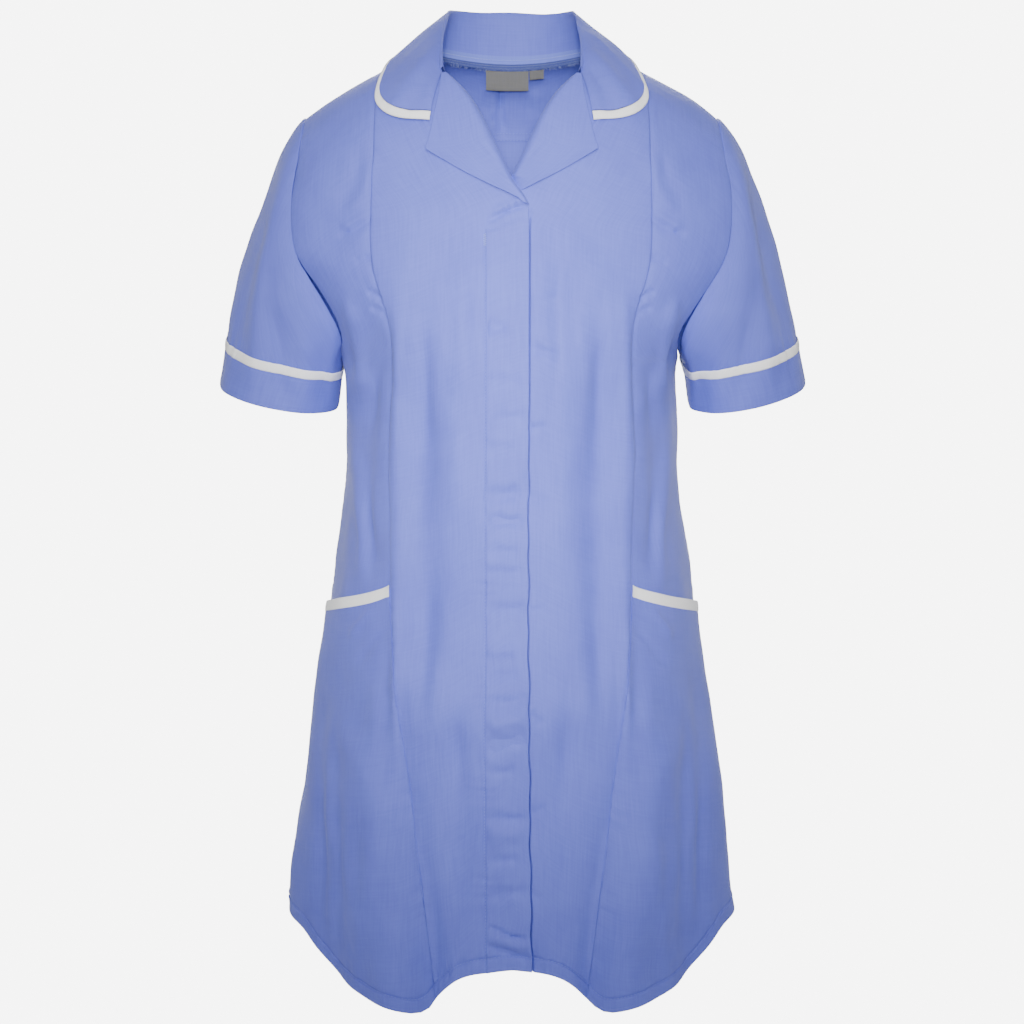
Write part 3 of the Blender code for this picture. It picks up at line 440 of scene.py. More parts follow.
def fold_height(degrees, drop):
    height = np.zeros(np.broadcast(degrees, drop).shape)
    for top, hem, width, rise, start in FOLD_ROWS:
        grown = np.clip((drop - start) / (HEM_LEVEL - start), 0.0, 1.15)
        centre = top + (hem - top) * smoothstep((drop - FOLDS_LEAN_FROM) / (HEM_LEVEL - FOLDS_LEAN_FROM))
        height += rise * grown**1.5 * bell(np.abs(degrees) - centre, width)
    return height


def bust_height(x, drop):
    across, down = (np.abs(x) - BUST_X) / BUST_WIDTH, (drop - BUST_DROP) / BUST_LENGTH
    return BUST_HEIGHT * np.exp(-(across**2) - down**2)


def body(angle, root):
    """Points of the tunic's outer surface. The angle goes round from the centre front to +X, and
    the root is the square root of the drop below the shoulder line."""
    angle, root = np.broadcast_arrays(np.asarray(angle, float), np.asarray(root, float))
    drop = root**2
    half_width, front, back = section(root)
    sine, cosine = np.sin(angle), np.cos(angle)
    depth = np.where(cosine >= 0, front, back)
    x = half_width * sine
    y = -depth * cosine * (1 + BOXINESS * sine**2)
    degrees = np.degrees(np.abs((angle + math.pi) % (2 * math.pi) - math.pi))
    out = fold_height(degrees, drop)
    across = unit(np.stack([sine * np.maximum(depth, 1e-4), -cosine * half_width], -1))
    x, y = x + out * across[..., 0], y + out * across[..., 1]
    y = y - np.where(cosine > 0, bust_height(x, drop), 0.0)
    level = np.clip(1 - drop / SHOULDER_DEPTH, 0.0, 1.0) ** 2
    return np.stack([x, y, -drop + level * shoulder_fall(x)], -1)


def body_normal(angle, root):
    step = 1e-4
    root = np.maximum(root, 2 * step)
    around = body(angle + step, root) - body(angle - step, root)
    down = body(angle, root + step) - body(angle, root - step)
    return unit(np.cross(down, around))


def angle_at(x, root):
    return np.arcsin(np.clip(x / section(root)[0], -1.0, 1.0))


def place(x, signed_root, lift):
    """A point over the body near the shoulders. A negative root is in front of the shoulder line."""
    root = np.maximum(np.abs(signed_root), 1e-3)
    front = angle_at(x, root)
    angle = np.where(signed_root < 0, front, math.pi - front)
    return body(angle, root) + np.asarray(lift, float)[..., None] * body_normal(angle, root)


# Unevenness of the cloth: waves in three directions for each length and height
WAVE_ROWS = (
    (0.150, 0.00055),
    (0.110, 0.00050),
    (0.083, 0.00040),
    (0.061, 0.00030),
    (0.047, 0.00020),
    (0.033, 0.00012),
)
rng = np.random.default_rng(11)
WAVES = [
    (unit(rng.normal(size=3)) * 2 * math.pi / length, phase, height)
    for length, height in WAVE_ROWS
    for phase in rng.uniform(0, 2 * math.pi, 3)
]


def waver(points):
    """Slow unevenness that no cloth is without."""
    return sum(height * np.sin(points @ wave + phase) for wave, phase, height in WAVES)


def crease_height(x, z, rows):
    height = np.zeros(x.shape)
    for x1, z1, x2, z2, bow, width, rise in rows:
        dx, dz = x2 - x1, z2 - z1
        length = math.hypot(dx, dz)
        t = ((x - x1) * dx + (z - z1) * dz) / length**2
        inside = np.clip(t, 0.0, 1.0)
        aside = ((x - x1) * dz - (z - z1) * dx) / length - bow * 4 * inside * (1 - inside)
        ends = smoothstep((t + 0.10) / 0.30) * smoothstep((1.10 - t) / 0.30)
        near = width * (0.75 + 0.25 * np.sin(9 * t + 40 * x1))
        height += rise * ends * bell(aside, near)
    return height


def relief(points, angle, extra=()):
    """Height of the creases over the plain body."""
    x, z = points[..., 0], points[..., 2]
    fore = smoothstep((np.cos(angle) + 0.05) / 0.10)
    height = fore * crease_height(np.abs(x), z, FRONT_CREASES)
    height = FOLD_STRENGTH * (height + (1 - fore) * crease_height(x, z, BACK_CREASES))
    if extra:
        height = height + PUCKER_STRENGTH * crease_height(x, z, extra)
    fade = smoothstep(np.abs(z + 0.02) / 0.03)
    return height + waver(points) * (0.4 + 0.6 * fade)


def ripple(along, seed):
    """Uneven ripples along a seam, from -1 to 1."""
    a = np.sin(2 * math.pi * along / 0.0105 + 1.9 * np.sin(2 * math.pi * along / 0.041 + seed) + seed)
    b = np.sin(2 * math.pi * along / 0.0173 + 1.4 * np.sin(2 * math.pi * along / 0.067 + 2 * seed) + 3 * seed)
    strength = 0.55 + 0.45 * np.sin(2 * math.pi * along / 0.083 + 5 * seed)
    return strength * (0.6 * a + 0.4 * b)


def spaced(length, step, first=True, last=True):
    """Shares from 0 to 1 along a length, closer together towards a finished edge."""
    start, stop = (EDGE_STEPS[-1] if first else 0.0), length - (EDGE_STEPS[-1] if last else 0.0)
    middle = np.linspace(start, stop, max(2, int(round((stop - start) / step)) + 1))
    close = np.concatenate([[0.0], EDGE_STEPS[:-1]])
    inner = close if first else []
    outer = length - close[::-1] if last else []
    return np.concatenate([inner, middle, outer]) / length


def hemmed(length, step):
    """Shares down a panel, closer together at its edges and over the hem's stitches."""
    shares = spaced(length, step)
    over = 1 - HEM_STEPS_OVER_STITCH / length
    apart = (shares < over[-1] - 0.001) | (shares > over[0] + 0.001)
    return np.unique(np.concatenate([shares[apart], over]))


def folded(distance, thickness, radius=FOLD_RADIUS):
    """How far a folded edge is sunk, and the share of the thickness left, at a distance from it."""
    share = np.sqrt(np.maximum(1 - (1 - np.clip(distance / radius, 0.0, 1.0)) ** 2, 0.004))
    return thickness / 2 * (1 - share), share


def shown(name, data):
    """A new object in the scene."""
    made = bpy.data.objects.new(name, data)
    bpy.context.scene.collection.objects.link(made)
    return made


def build(name, outer, inner, look, closed, weave):
    """A closed shell between an outer and an inner grid of points, in place of the solid it is named
    after. The look is a material and a slot name, and the slot name is not used. The weave says
    where each point is on flat cloth."""
    material, slot = look
    rows, columns = outer.shape[:2]
    size = rows * columns
    index = np.arange(size).reshape(rows, columns)
    if closed:
        index = np.concatenate([index, index[:, :1]], 1)
    quads = np.stack([index[:-1, :-1], index[:-1, 1:], index[1:, 1:], index[1:, :-1]], -1).reshape(-1, 4)
    faces = [quads, quads[:, ::-1] + size]
    edges = [(index[0], True), (index[-1], False)]
    if not closed:
        edges += [(index[:, 0], False), (index[:, -1], True)]
    for line, flip in edges:
        rim = np.stack([line[:-1], line[1:], line[1:] + size, line[:-1] + size], -1)
        faces.append(rim if flip else rim[:, ::-1])
    faces = np.concatenate(faces)
    points = np.concatenate([outer.reshape(-1, 3), inner.reshape(-1, 3)])
    mesh = bpy.data.meshes.new(name)
    mesh.vertices.add(len(points))
    mesh.vertices.foreach_set("co", points.ravel())
    mesh.loops.add(faces.size)
    mesh.loops.foreach_set("vertex_index", faces.ravel().astype(np.int32))
    mesh.polygons.add(len(faces))
    mesh.polygons.foreach_set("loop_start", np.arange(0, faces.size, 4, dtype=np.int32))
    mesh.polygons.foreach_set("loop_total", np.full(len(faces), 4, np.int32))
    mesh.update(calc_edges=True)
    threads = mesh.attributes.new("cloth", "FLOAT_VECTOR", "POINT")
    threads.data.foreach_set("vector", np.concatenate([weave, weave]).ravel())
    shell = bmesh.new()
    shell.from_mesh(mesh)
    bmesh.ops.recalc_face_normals(shell, faces=shell.faces)
    shell.to_mesh(mesh)
    shell.free()
    mesh.materials.append(material)
    mesh.shade_smooth()
    mesh.set_sharp_from_angle(angle=math.radians(55))
    made = shown(name + "_shown", mesh)
    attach(made, "root")
    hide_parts(name)


def seamed(outer, inner, normals, weave, thickness, side, lapped, depth=ALLOWANCE):
    """Adds the seam allowance along one side of the grid, turned in to a depth or lapped under the
    neighbouring panel."""
    def turned(grid):
        grid = np.swapaxes(grid, 0, 1) if side in ("top", "bottom") else grid
        return grid[:, ::-1] if side in ("right", "bottom") else grid

    def returned(grid):
        grid = grid[:, ::-1] if side in ("right", "bottom") else grid
        return np.swapaxes(grid, 0, 1) if side in ("top", "bottom") else grid

    o, i, n, c = (turned(grid).copy() for grid in (outer, inner, normals, weave))
    beyond = unit(o[:, 0] - o[:, 2])
    beyond = unit(beyond - np.sum(beyond * n[:, 0], -1, keepdims=True) * n[:, 0])
    o[:, 0] -= SEAM_HALF * beyond
    i[:, 0] -= (SEAM_HALF + thickness) * beyond
    crowded = np.linalg.norm(o[:, 1] - o[:, 0], axis=-1) < thickness
    i[:, 1] = np.where(crowded[:, None], i[:, 0] - 0.00012 * beyond, i[:, 1])
    if lapped:
        foot = o[:, 0] - (thickness + 0.0005) * n[:, 0] + 0.00004 * beyond
        tip = foot + 0.0030 * beyond - 0.0003 * n[:, 0]
        extra, under = [tip, foot], [tip - 0.0004 * n[:, 0], foot - 0.0004 * n[:, 0] - thickness * beyond]
    else:
        foot = o[:, 0] - depth * n[:, 0] + 0.0004 * beyond
        extra, under = [foot], [foot - thickness * beyond]
    count = len(extra)
    o = np.concatenate([np.stack(extra, 1), o], 1)
    i = np.concatenate([np.stack(under, 1), i], 1)
    n = np.concatenate([np.repeat(n[:, :1], count, 1), n], 1)
    c = np.concatenate([np.repeat(c[:, :1], count, 1), c], 1)
    return [returned(grid) for grid in (o, i, n, c)]


def panel(name, points, normals, look, edges, thickness=CLOTH, closed=False):
    """A panel of cloth. Each edge is turned or lapped (a seam), folded, a hem, or left raw."""
    across, down = walked(points, 1), walked(points, 0)
    far = {"left": across, "right": across[:, -1:] - across, "top": down, "bottom": down[-1:] - down}
    sink, left = np.zeros(across.shape), np.ones(across.shape)
    thick = np.full(across.shape, thickness)
    for side, kind in edges.items():
        if kind == "hem":
            thick = thick + HEM_FULLNESS * smoothstep((HEM_STITCH - far[side]) / 0.0012)
    for side, kind in edges.items():
        if kind in ("folded", "hem"):
            low, share = folded(far[side], thick, HEM_RADIUS if kind == "hem" else FOLD_RADIUS)
            sink, left = np.maximum(sink, low), np.minimum(left, share)
        if kind in ("turned", "lapped"):
            steep = 0.0006 if kind == "turned" else 0.0032
            sink = sink + GROOVE * bell(far[side], steep) + SOFT_SINK * bell(far[side], 0.003)
    outer = points - sink[..., None] * normals
    inner = outer - (thick * left)[..., None] * normals
    middle = across[:, across.shape[1] // 2][:, None]
    weave = np.stack([across - middle, down, np.zeros(across.shape)], -1)
    for side, kind in edges.items():
        if kind in ("turned", "lapped"):
            lapped = kind == "lapped"
            outer, inner, normals, weave = seamed(outer, inner, normals, weave, thickness, side, lapped)
    build(name, outer, inner, look, closed, weave)


def finer(drops, angle, shares):
    """Rows between rows: the drops of a coarse grid at shares of the way down the body at an angle."""
    roots = np.sqrt(drops)
    lengths = run(body(np.full(len(drops), angle), roots[:, drops.shape[1] // 2]))
    at = np.interp(shares, lengths / lengths[-1], np.arange(len(lengths)))
    low = np.clip(at.astype(int), 0, len(lengths) - 2)
    return between(roots, low, (at - low)[:, None]) ** 2


def hem_drop(degrees):
    return through(np.abs(degrees), HEM_COLUMNS, HEM_ROWS)


def princess_x(drop):
    return through(drop, PRINCESS_COLUMNS, PRINCESS_ROWS)


def armhole_degrees(drop, side):
    """The armhole's line, eased round its corners."""
    drops = column(ARMHOLE_COLUMNS, ARMHOLE_ROWS, "drop")
    degrees = column(ARMHOLE_COLUMNS, ARMHOLE_ROWS, side)
    reach = np.minimum(0.010, np.minimum(drop, UNDERARM_DROP - np.minimum(drop, UNDERARM_DROP)) * 0.9)
    taps = [np.interp(drop + reach * k, drops, degrees) for k in (-1.0, -0.66, -0.33, 0.0, 0.33, 0.66, 1.0)]
    return sum(taps) / len(taps)


def front_neck_root():
    drop, x = ROLL_ROWS[0]
    return math.sqrt(drop / (1 - (x / NECK_HALF_WIDTH) ** 2))


def roll_x(drop):
    neck = NECK_HALF_WIDTH * np.sqrt(np.clip(1 - drop / front_neck_root() ** 2, 0.0, 1.0))
    line = through(drop, ROLL_COLUMNS, ROLL_ROWS)
    return np.where(drop < ROLL_ROWS[0][0], neck, line)


def skirt_rows(share, bottom, steps=HEM_STEPS):
    first, last = np.array(SKIRT_ROWS).T[..., None]
    rows = first + (last - first) * share**0.8
    down = np.arange(1, steps + 1)[:, None] / HEM_STEPS
    return np.concatenate([rows, rows[-1] + (bottom - rows[-1]) * down])


def hem_degrees(x):
    return np.degrees(angle_at(x, math.sqrt(MIDDLE_HEM)))


# The fly's edge, each row drop, x from its straight line
FLY_EDGE_ROWS = (
    (0.15, 0.0),
    (0.30, -0.0004),
    (0.42, -0.0012),
    (0.53, -0.0008),
    (0.60, 0.0),
    (0.69, 0.0010),
    (0.76, 0.0026),
)


def fly_inner(drop):
    """The fly's edge, which wavers a little on its way down."""
    past = smoothstep((drop - ROLL_END_DROP) / 0.015)
    low = np.interp(drop, *np.transpose(FLY_EDGE_ROWS))
    wave = 0.00035 * np.sin(drop / 0.0135 + 0.8) + 0.00045 * np.sin(drop / 0.0062)
    wave = (wave + 0.0003 * ripple(drop, 2.2)) * smoothstep((drop - 0.27) / 0.12)
    return roll_x(np.minimum(drop, ROLL_END_DROP)) * (1 - past) - (FLY_EDGE_X + low + wave) * past


def underlap_inner(drop):
    line = roll_x(np.minimum(drop, UNDERLAP_DROP))
    return line + (UNDERLAP_X - line) * smoothstep((drop - UNDERLAP_DROP) / 0.03)


def front_grid(side, inner_x, shares, row_shares):
    """Angles and roots of a centre front, from its inner edge to the princess seam. The columns over
    the fly keep their distances from the inner edge, and the others share what is left."""
    near = shares[shares < 0]
    rest = shares[len(near) :]
    inner_hem = hem_degrees(inner_x(FRONT_EDGE_HEM))
    outer_hem = hem_degrees(princess_x(PRINCESS_HEM))
    fly_share = FLY_REACH / FRONT_SPAN
    across = np.concatenate([(near + 1.0) / FRONT_SPAN, fly_share + (1 - fly_share) * rest])
    bottom = hem_drop(inner_hem + (outer_hem - inner_hem) * across)
    coarse = np.concatenate([np.array(UPPER_LEVELS)[:, None] + 0 * across, skirt_rows(0 * across, bottom)])
    drops = finer(coarse, 0.25, row_shares)
    first, last = inner_x(drops), princess_x(drops)
    reach = np.minimum(FLY_REACH, 0.7 * (last - first))[:, :1]
    places = first.copy()
    places[:, : len(near)] += (near + 1.0) * reach / FLY_REACH
    places[:, len(near) :] += reach + (last - first - reach)[:, len(near) :] * rest
    return side * angle_at(places, np.sqrt(drops)), np.sqrt(drops)


def side_limit(drops, side):
    back = (SIDE_SEAM_DEGREES - 90.0) * smoothstep((drops - UNDERARM_DROP) / 0.20)
    seam = 90.0 + (back if side == "front_degrees" else -back)
    return np.where(drops <= UNDERARM_DROP, armhole_degrees(np.minimum(drops, UNDERARM_DROP), side), seam)


def side_angles(side, drops, shares):
    inner = np.degrees(angle_at(princess_x(drops), np.sqrt(drops)))
    outer = side_limit(drops, "front_degrees")
    return side * np.radians(inner + (outer - inner) * shares)


def side_hem(shares):
    first = hem_degrees(princess_x(PRINCESS_HEM))
    return hem_drop(first + (SIDE_SEAM_DEGREES - first) * shares)


def hem_relief(distance, along, seed):
    """The hem's turned-up strip, its groove at the stitches, and the puckers over it."""
    above = distance - HEM_STITCH
    height = 0.00030 * smoothstep(-above / 0.002) - 0.00070 * bell(above, 0.0012)
    return height + 0.00140 * ripple(along, seed) * bell(above, 0.0065)


def seam_puckers(distance, along, seed, height, reach):
    return height * ripple(along, seed) * np.exp(-distance / reach) * smoothstep(distance / 0.0015)


# The front panels
def front_right_surface(angle, root):
    points, normals = body(angle, root), body_normal(angle, root)
    x, z = points[..., 0], points[..., 2]
    lift = relief(points, angle, FLY_CREASES)
    band = smoothstep((x - FLY_STITCH_X + 0.0005) / 0.002) * smoothstep((-z - 0.148) / 0.004)
    beside = bell(x - FLY_STITCH_X, 0.0011) * smoothstep((-z - 0.150) / 0.004)
    lift = lift + 0.00070 * band - 0.00045 * beside
    pull = np.exp(-np.abs(x - FLY_STITCH_X) / 0.0060) * smoothstep((-z - 0.155) / 0.01)
    lift = lift + 0.00100 * pull * ripple(-z, 1.3) * (0.5 + 0.9 * smoothstep((-z - 0.35) / 0.1))
    return points + lift[..., None] * normals, normals


def front_left_surface(angle, root):
    points, normals = body(angle, root), body_normal(angle, root)
    drop = root**2
    lift = relief(points, angle, UNDER_FRONT_CREASES)
    x = points[..., 0]
    sunk = (LAYER + 0.0004) * (1 - smoothstep((x - 0.020) / 0.022)) * smoothstep((drop - 0.075) / 0.03)
    under = bell(x - (0.0002 - fly_inner(drop)), 0.0008) * smoothstep((drop - 0.125) / 0.02)
    return points + (lift - sunk - 0.0032 * under)[..., None] * normals, normals


def plain_surface(angle, root):
    points, normals = body(angle, root), body_normal(angle, root)
    return points + relief(points, angle)[..., None] * normals, normals


def fronts(cloth):
    # Columns over the fly, closest at its stitches, as distances from its edge less 1
    plain, stitched = np.arange(0.0052, 0.0325, 0.0024), np.arange(0.0328, 0.0396, 0.00045)
    near = np.concatenate([[0.0], EDGE_STEPS, plain, stitched, [0.0408, 0.0424]])
    shares = np.concatenate([near - 1.0, spaced(0.060, 0.0024, first=False)])
    edges = {"left": "folded", "bottom": "hem", "right": "turned", "top": "lapped"}
    rows = hemmed(0.815, 0.0022)
    for name, side, inner_x, surface, seed in (
        ("front_right", -1, fly_inner, front_right_surface, 0.4),
        ("front_left", 1, underlap_inner, front_left_surface, 2.1),
    ):
        angle, root = front_grid(side, inner_x, shares, rows)
        points, normals = surface(angle, root)
        down, across = walked(points, 0), walked(points, 1)
        bottom = down[-1:] - down
        right = across[:, -1:] - across
        lift = hem_relief(bottom, across, seed)
        lift = lift + seam_puckers(right, down, seed, 0.00060, 0.008) * smoothstep((root**2 - 0.2) / 0.2)
        panel(name, points + lift[..., None] * normals, normals, cloth, edges)


def side_grid(side, shares, row_shares, first_row=0, last_row=None, steps=HEM_STEPS):
    upper = np.array(UPPER_LEVELS)[:, None] + 0 * shares
    coarse = np.concatenate([upper, skirt_rows(shares, side_hem(shares), steps)])
    drops = finer(coarse[first_row:last_row], 0.9, row_shares)
    return side_angles(side, drops, shares), np.sqrt(drops)


def side_fronts(cloth, white):
    shares = spaced(0.110, 0.0026)

    def layer(angle, root, thickness):
        """A layer of the pocket over the side panel, a little open at its mouth."""
        drops = root**2
        under, facing = plain_surface(angle, root)
        gape = 0.0028 * bell(drops - drops[:1], 0.08)
        gape = gape * np.sin(math.pi * np.clip(shares, 0.0, 1.0) ** 2.2)
        out = (SEAM_GAP + thickness) * (1 - smoothstep((drops - 0.655) / 0.09)) + gape
        return under + out[..., None] * facing, facing

    for name, side, seed in (("right", -1, 0.9), ("left", 1, 3.3)):
        angle, root = side_grid(side, shares, spaced(0.640, 0.0026), steps=BAG_STEPS)
        points, normals = plain_surface(angle, root)
        across, down = walked(points, 1), walked(points, 0)
        lift = seam_puckers(across, down, seed, 0.00050, 0.008)
        lift = lift + seam_puckers(across[:, -1:] - across, down, seed + 1, 0.00060, 0.007)
        points = points + lift[..., None] * normals
        edges = {"left": "lapped", "right": "turned", "top": "lapped", "bottom": "folded"}
        panel(f"side_front_{name}", points, normals, cloth, edges)

        points, normals = layer(*side_grid(side, shares, hemmed(0.345, 0.0026), MOUTH_ROW), WALL)
        across, down = walked(points, 1), walked(points, 0)
        lift = hem_relief(down[-1:] - down, across, seed)
        lift = lift + seam_puckers(across, down, seed + 0.5, 0.00110, 0.011)
        lift = lift + seam_puckers(across[:, -1:] - across, down, seed + 2, 0.00060, 0.007)
        points = points + lift[..., None] * normals
        # The pocket starts just inside its binding
        keep = down.mean(1) > 0.0015
        edges = {"left": "lapped", "right": "turned", "bottom": "hem"}
        panel(f"pocket_{name}", points[keep], normals[keep], cloth, edges)

        strip = side_grid(side, shares, np.linspace(0.0, 1.0, 15), MOUTH_ROW, MOUTH_ROW + 2)
        points, normals = layer(*strip, 1.4 * WALL)
        points = points + (0.00012 * ripple(walked(points, 1), seed + 4))[..., None] * normals
        bias_strip(f"pocket_binding_{name}", points, normals, white, 0.0011)


def bias_strip(name, points, normals, white, thickness, closed=False):
    """A bias binding: a narrow strip folded round an edge, a little full in its middle."""
    down = walked(points, 0)
    middle = np.sin(math.pi * down / np.maximum(down[-1:], 1e-6))
    points = points + (BINDING_DOME * middle - BINDING_DOME * 0.6)[..., None] * normals
    sink, share = folded(np.minimum(down, down[-1:] - down), thickness)
    outer = points - sink[..., None] * normals
    inner = outer - (thickness * share)[..., None] * normals
    weave = np.stack([walked(points, 1), down, np.zeros(down.shape)], -1)
    build(name, outer, inner, white, closed, weave)


def back_grid(drops, shares):
    limit = side_limit(drops, "back_degrees")
    half_width = section(np.sqrt(drops))[0]
    x = np.abs(shares) * half_width * np.sin(np.radians(np.minimum(limit, 90.0)))
    by_x = np.degrees(np.arcsin(np.clip(x / half_width, 0.0, 1.0)))
    by_angle = np.abs(shares) * limit
    degrees = by_x + (by_angle - by_x) * smoothstep((drops - 0.10) / 0.14)
    return np.where(shares < 0, -1, 1) * np.radians(180.0 - degrees), np.sqrt(drops)


def yoke_seam(shares):
    return YOKE_DROP + 0.35 * shoulder_fall(np.abs(shares) * SHOULDER_TIP_X)


def backs(cloth):
    shares = spaced(0.360, 0.0034) * 2 - 1
    seam = yoke_seam(shares)
    across = np.abs(shares) * SHOULDER_TIP_X / NECK_HALF_WIDTH
    neck = BACK_NECK_DROP * np.clip(1 - across**2, 0.0, 1.0)
    steps = spaced(0.085, 0.0030)[:, None]
    ease = np.where(across < 0.999, np.sqrt(neck), 0.0)
    roots = ease + (np.sqrt(seam) - ease) * steps
    angle, root = back_grid(roots**2, shares)
    points, normals = plain_surface(angle, root)
    down, along = walked(points, 0), walked(points, 1)
    low = down[-1:] - down
    lift = sum(-0.00030 * bell(low - rise, 0.0009) for rise in YOKE_STITCHES)
    lift = lift + 0.00028 * ripple(along, 0.7) * bell(low - 0.004, 0.006)
    points = points + lift[..., None] * normals
    panel("back_yoke", points, normals, cloth, {"left": "lapped", "right": "lapped"})

    shares = spaced(0.400, 0.0036) * 2 - 1
    seam = yoke_seam(shares)
    bottom = hem_drop(180.0 - np.abs(shares) * (180.0 - SIDE_SEAM_DEGREES))
    levels = np.array(BACK_LEVELS)[:, None] + 0 * shares
    coarse = np.concatenate([seam[None, :], levels, skirt_rows(1 + 0 * shares, bottom)])
    drops = finer(coarse, 2.9, hemmed(0.690, 0.0036))
    angle, root = back_grid(drops, shares)
    points, normals = plain_surface(angle, root)
    down, along = walked(points, 0), walked(points, 1)
    lift = hem_relief(down[-1:] - down, along, 1.7)
    lift = lift + 0.00030 * ripple(along, 2.7) * np.exp(-down / 0.006)
    for edge, seed in ((along, 0.3), (along[:, -1:] - along, 4.1)):
        lift = lift + seam_puckers(edge, down, seed, 0.00030, 0.008)
    points = points + lift[..., None] * normals
    panel("back", points, normals, cloth, {"left": "lapped", "right": "lapped", "bottom": "hem"})


def grid_normals(points, closed=False):
    if closed:
        wide = np.concatenate([points[:, -1:], points, points[:, :1]], 1)
        along = wide[:, 2:] - wide[:, :-2]
    else:
        along = np.gradient(points, axis=1)
    return unit(np.cross(np.gradient(points, axis=0), along))


# The sleeves
RING_POINTS = 168


def armhole_ring(side):
    """Evenly walked points round the armhole: down the front from the shoulder, and up the back."""
    roots = np.linspace(0.0, math.sqrt(UNDERARM_DROP), 240)
    drops = roots**2
    front = body(side * np.radians(armhole_degrees(drops, "front_degrees")), roots)
    back = body(side * (math.pi - np.radians(armhole_degrees(drops, "back_degrees"))), roots)[::-1]
    half = RING_POINTS // 2
    rings = []
    for line in (front, back):
        length = run(line)
        rings.append(points_at(np.linspace(0.0, length[-1], half + 1)[:-1], length, line))
    return np.concatenate(rings)


def sleeve_points(side, row_shares):
    ring = armhole_ring(side)
    turn = np.arange(RING_POINTS) / RING_POINTS * 2 * math.pi
    mirror = np.array([side, 1.0, 1.0])
    across, forward = np.array(CUFF_ACROSS) * mirror, np.array(CUFF_FORWARD) * mirror
    front = np.sin(turn)[:, None]
    full = np.sign(front) * np.abs(front) ** 0.8
    cuff = np.array(CUFF_CENTRE) * mirror + np.cos(turn)[:, None] * across + full * forward
    top = (1 + np.cos(turn))[:, None] / 2
    leave = LEAVE_UNDER + (LEAVE_TOP - LEAVE_UNDER) * top
    leave = leave + np.abs(front) * np.array([0.030, 0.0, -0.056])
    leave = (leave + front * np.array([0.0, -0.020, 0.0])) * mirror
    drape = np.linalg.norm(cuff - ring, axis=1)[:, None]
    axis = SLEEVE_UNDER_AXIS + (SLEEVE_TOP_AXIS - SLEEVE_UNDER_AXIS) * top
    arrive = unit(axis * mirror) * drape * 1.05
    t = np.asarray(row_shares, float)[:, None, None]
    return (
        (2 * t**3 - 3 * t**2 + 1) * ring
        + (t**3 - 2 * t**2 + t) * leave
        + (3 * t**2 - 2 * t**3) * cuff
        + (t**3 - t**2) * arrive
    ), turn


def sleeves(cloth, white):
    for name, side, seed in (("right", -1, 0.6), ("left", 1, 2.9)):
        fine, turn = sleeve_points(side, np.linspace(0.0, 1.0, 121))
        top = CUFF_DEPTH + SEAM_GAP + CUFF_BINDING_WIDTH
        along = walked(fine, 0)
        # Rings down the sleeve: shares of the way to the binding, then distances above the hem
        upper = spaced(0.20, 0.0034, last=False)
        over_binding = [top, top - 0.002, top - 0.004, CUFF_DEPTH, CUFF_DEPTH - 0.0004]
        low = np.concatenate([over_binding, np.linspace(CUFF_DEPTH - 0.003, 0.0, 12)])
        points = np.empty((len(upper) + len(low), RING_POINTS, 3))
        for col in range(RING_POINTS):
            length = along[-1, col]
            rise = 1 - 0.15 * bell(turn[col] - math.pi, 0.50)
            at = np.concatenate([(length - rise * top - 0.001) * upper, length - rise * low])
            points[:, col] = points_at(at, along[:, col], fine[:, col])
        normals = -side * grid_normals(points, closed=True)
        down = walked(points, 0)
        share = down / down[-1:]
        degrees = np.degrees(turn)
        degrees = np.where(degrees > 180, degrees - 360, degrees)
        height = np.zeros(down.shape)
        for at, lean, start, end, width, rise in SLEEVE_FOLDS:
            centre = at + lean * (share - 0.5)
            ends = smoothstep((share - start) / 0.35) * smoothstep((end + 0.15 - share) / 0.35)
            height += rise * ends * bell(degrees - centre, width)
        calm = smoothstep(share / 0.20)
        height = height * calm * (1 - 0.65 * smoothstep((share - 0.8) / 0.2))
        height = height + waver(points * np.array([1.3, 1.3, 1.0])) * calm * 1.3
        # Ease and small puckers at the armhole seam and over the cuff's binding
        around = np.arange(RING_POINTS) / RING_POINTS * 0.50
        height = height + 0.00060 * ripple(around, seed) * np.exp(-down / 0.008) * smoothstep(down / 0.0015)
        above = np.abs(down - (down[-1:] - top))
        height = height + 0.00090 * ripple(around, seed + 1.5) * np.exp(-above / 0.010)
        points = points + height[..., None] * normals
        normals = -side * grid_normals(points, closed=True)
        outer = points - (GROOVE * bell(down, 0.0006))[..., None] * normals
        inner = outer - CLOTH * normals
        weave = np.stack([walked(points, 1), down, np.zeros(down.shape)], -1)
        outer, inner, _, weave = seamed(outer, inner, normals, weave, CLOTH, "top", False, ARMHOLE_ALLOWANCE)
        build(f"sleeve_{name}", outer, inner, cloth, True, weave)

        # The cuff's outer layer, folded under at the sleeve's hem
        first = len(upper)
        facing = normals[first + 3 :]
        over = points[first + 3 :] + 0.0012 * facing
        uneven = 0.00025 * ripple(around, seed + 3) * np.linspace(1.0, 0.3, len(over))[:, None]
        over = over + uneven[..., None] * facing
        panel(f"cuff_{name}", over, facing, cloth, {"bottom": "folded"}, DOUBLED_CLOTH, True)

        # Its binding, on finer rows between the ones over it
        at = np.linspace(0.0, 1.0, 13)
        track = np.array([0.0, 0.002, 0.004, top - CUFF_DEPTH]) / (top - CUFF_DEPTH)
        low = np.clip(np.searchsorted(track, at) - 1, 0, 2)
        part = ((at - track[low]) / (track[low + 1] - track[low]))[:, None, None]
        strip = between(points[first:], low, part)
        facing = unit(between(normals[first:], low, part))
        strip = strip + 0.0015 * facing
        strip = strip + (0.00012 * ripple(around, seed + 5))[None, :, None] * facing
        bias_strip(f"cuff_binding_{name}", strip, facing, white, 0.0010, True)


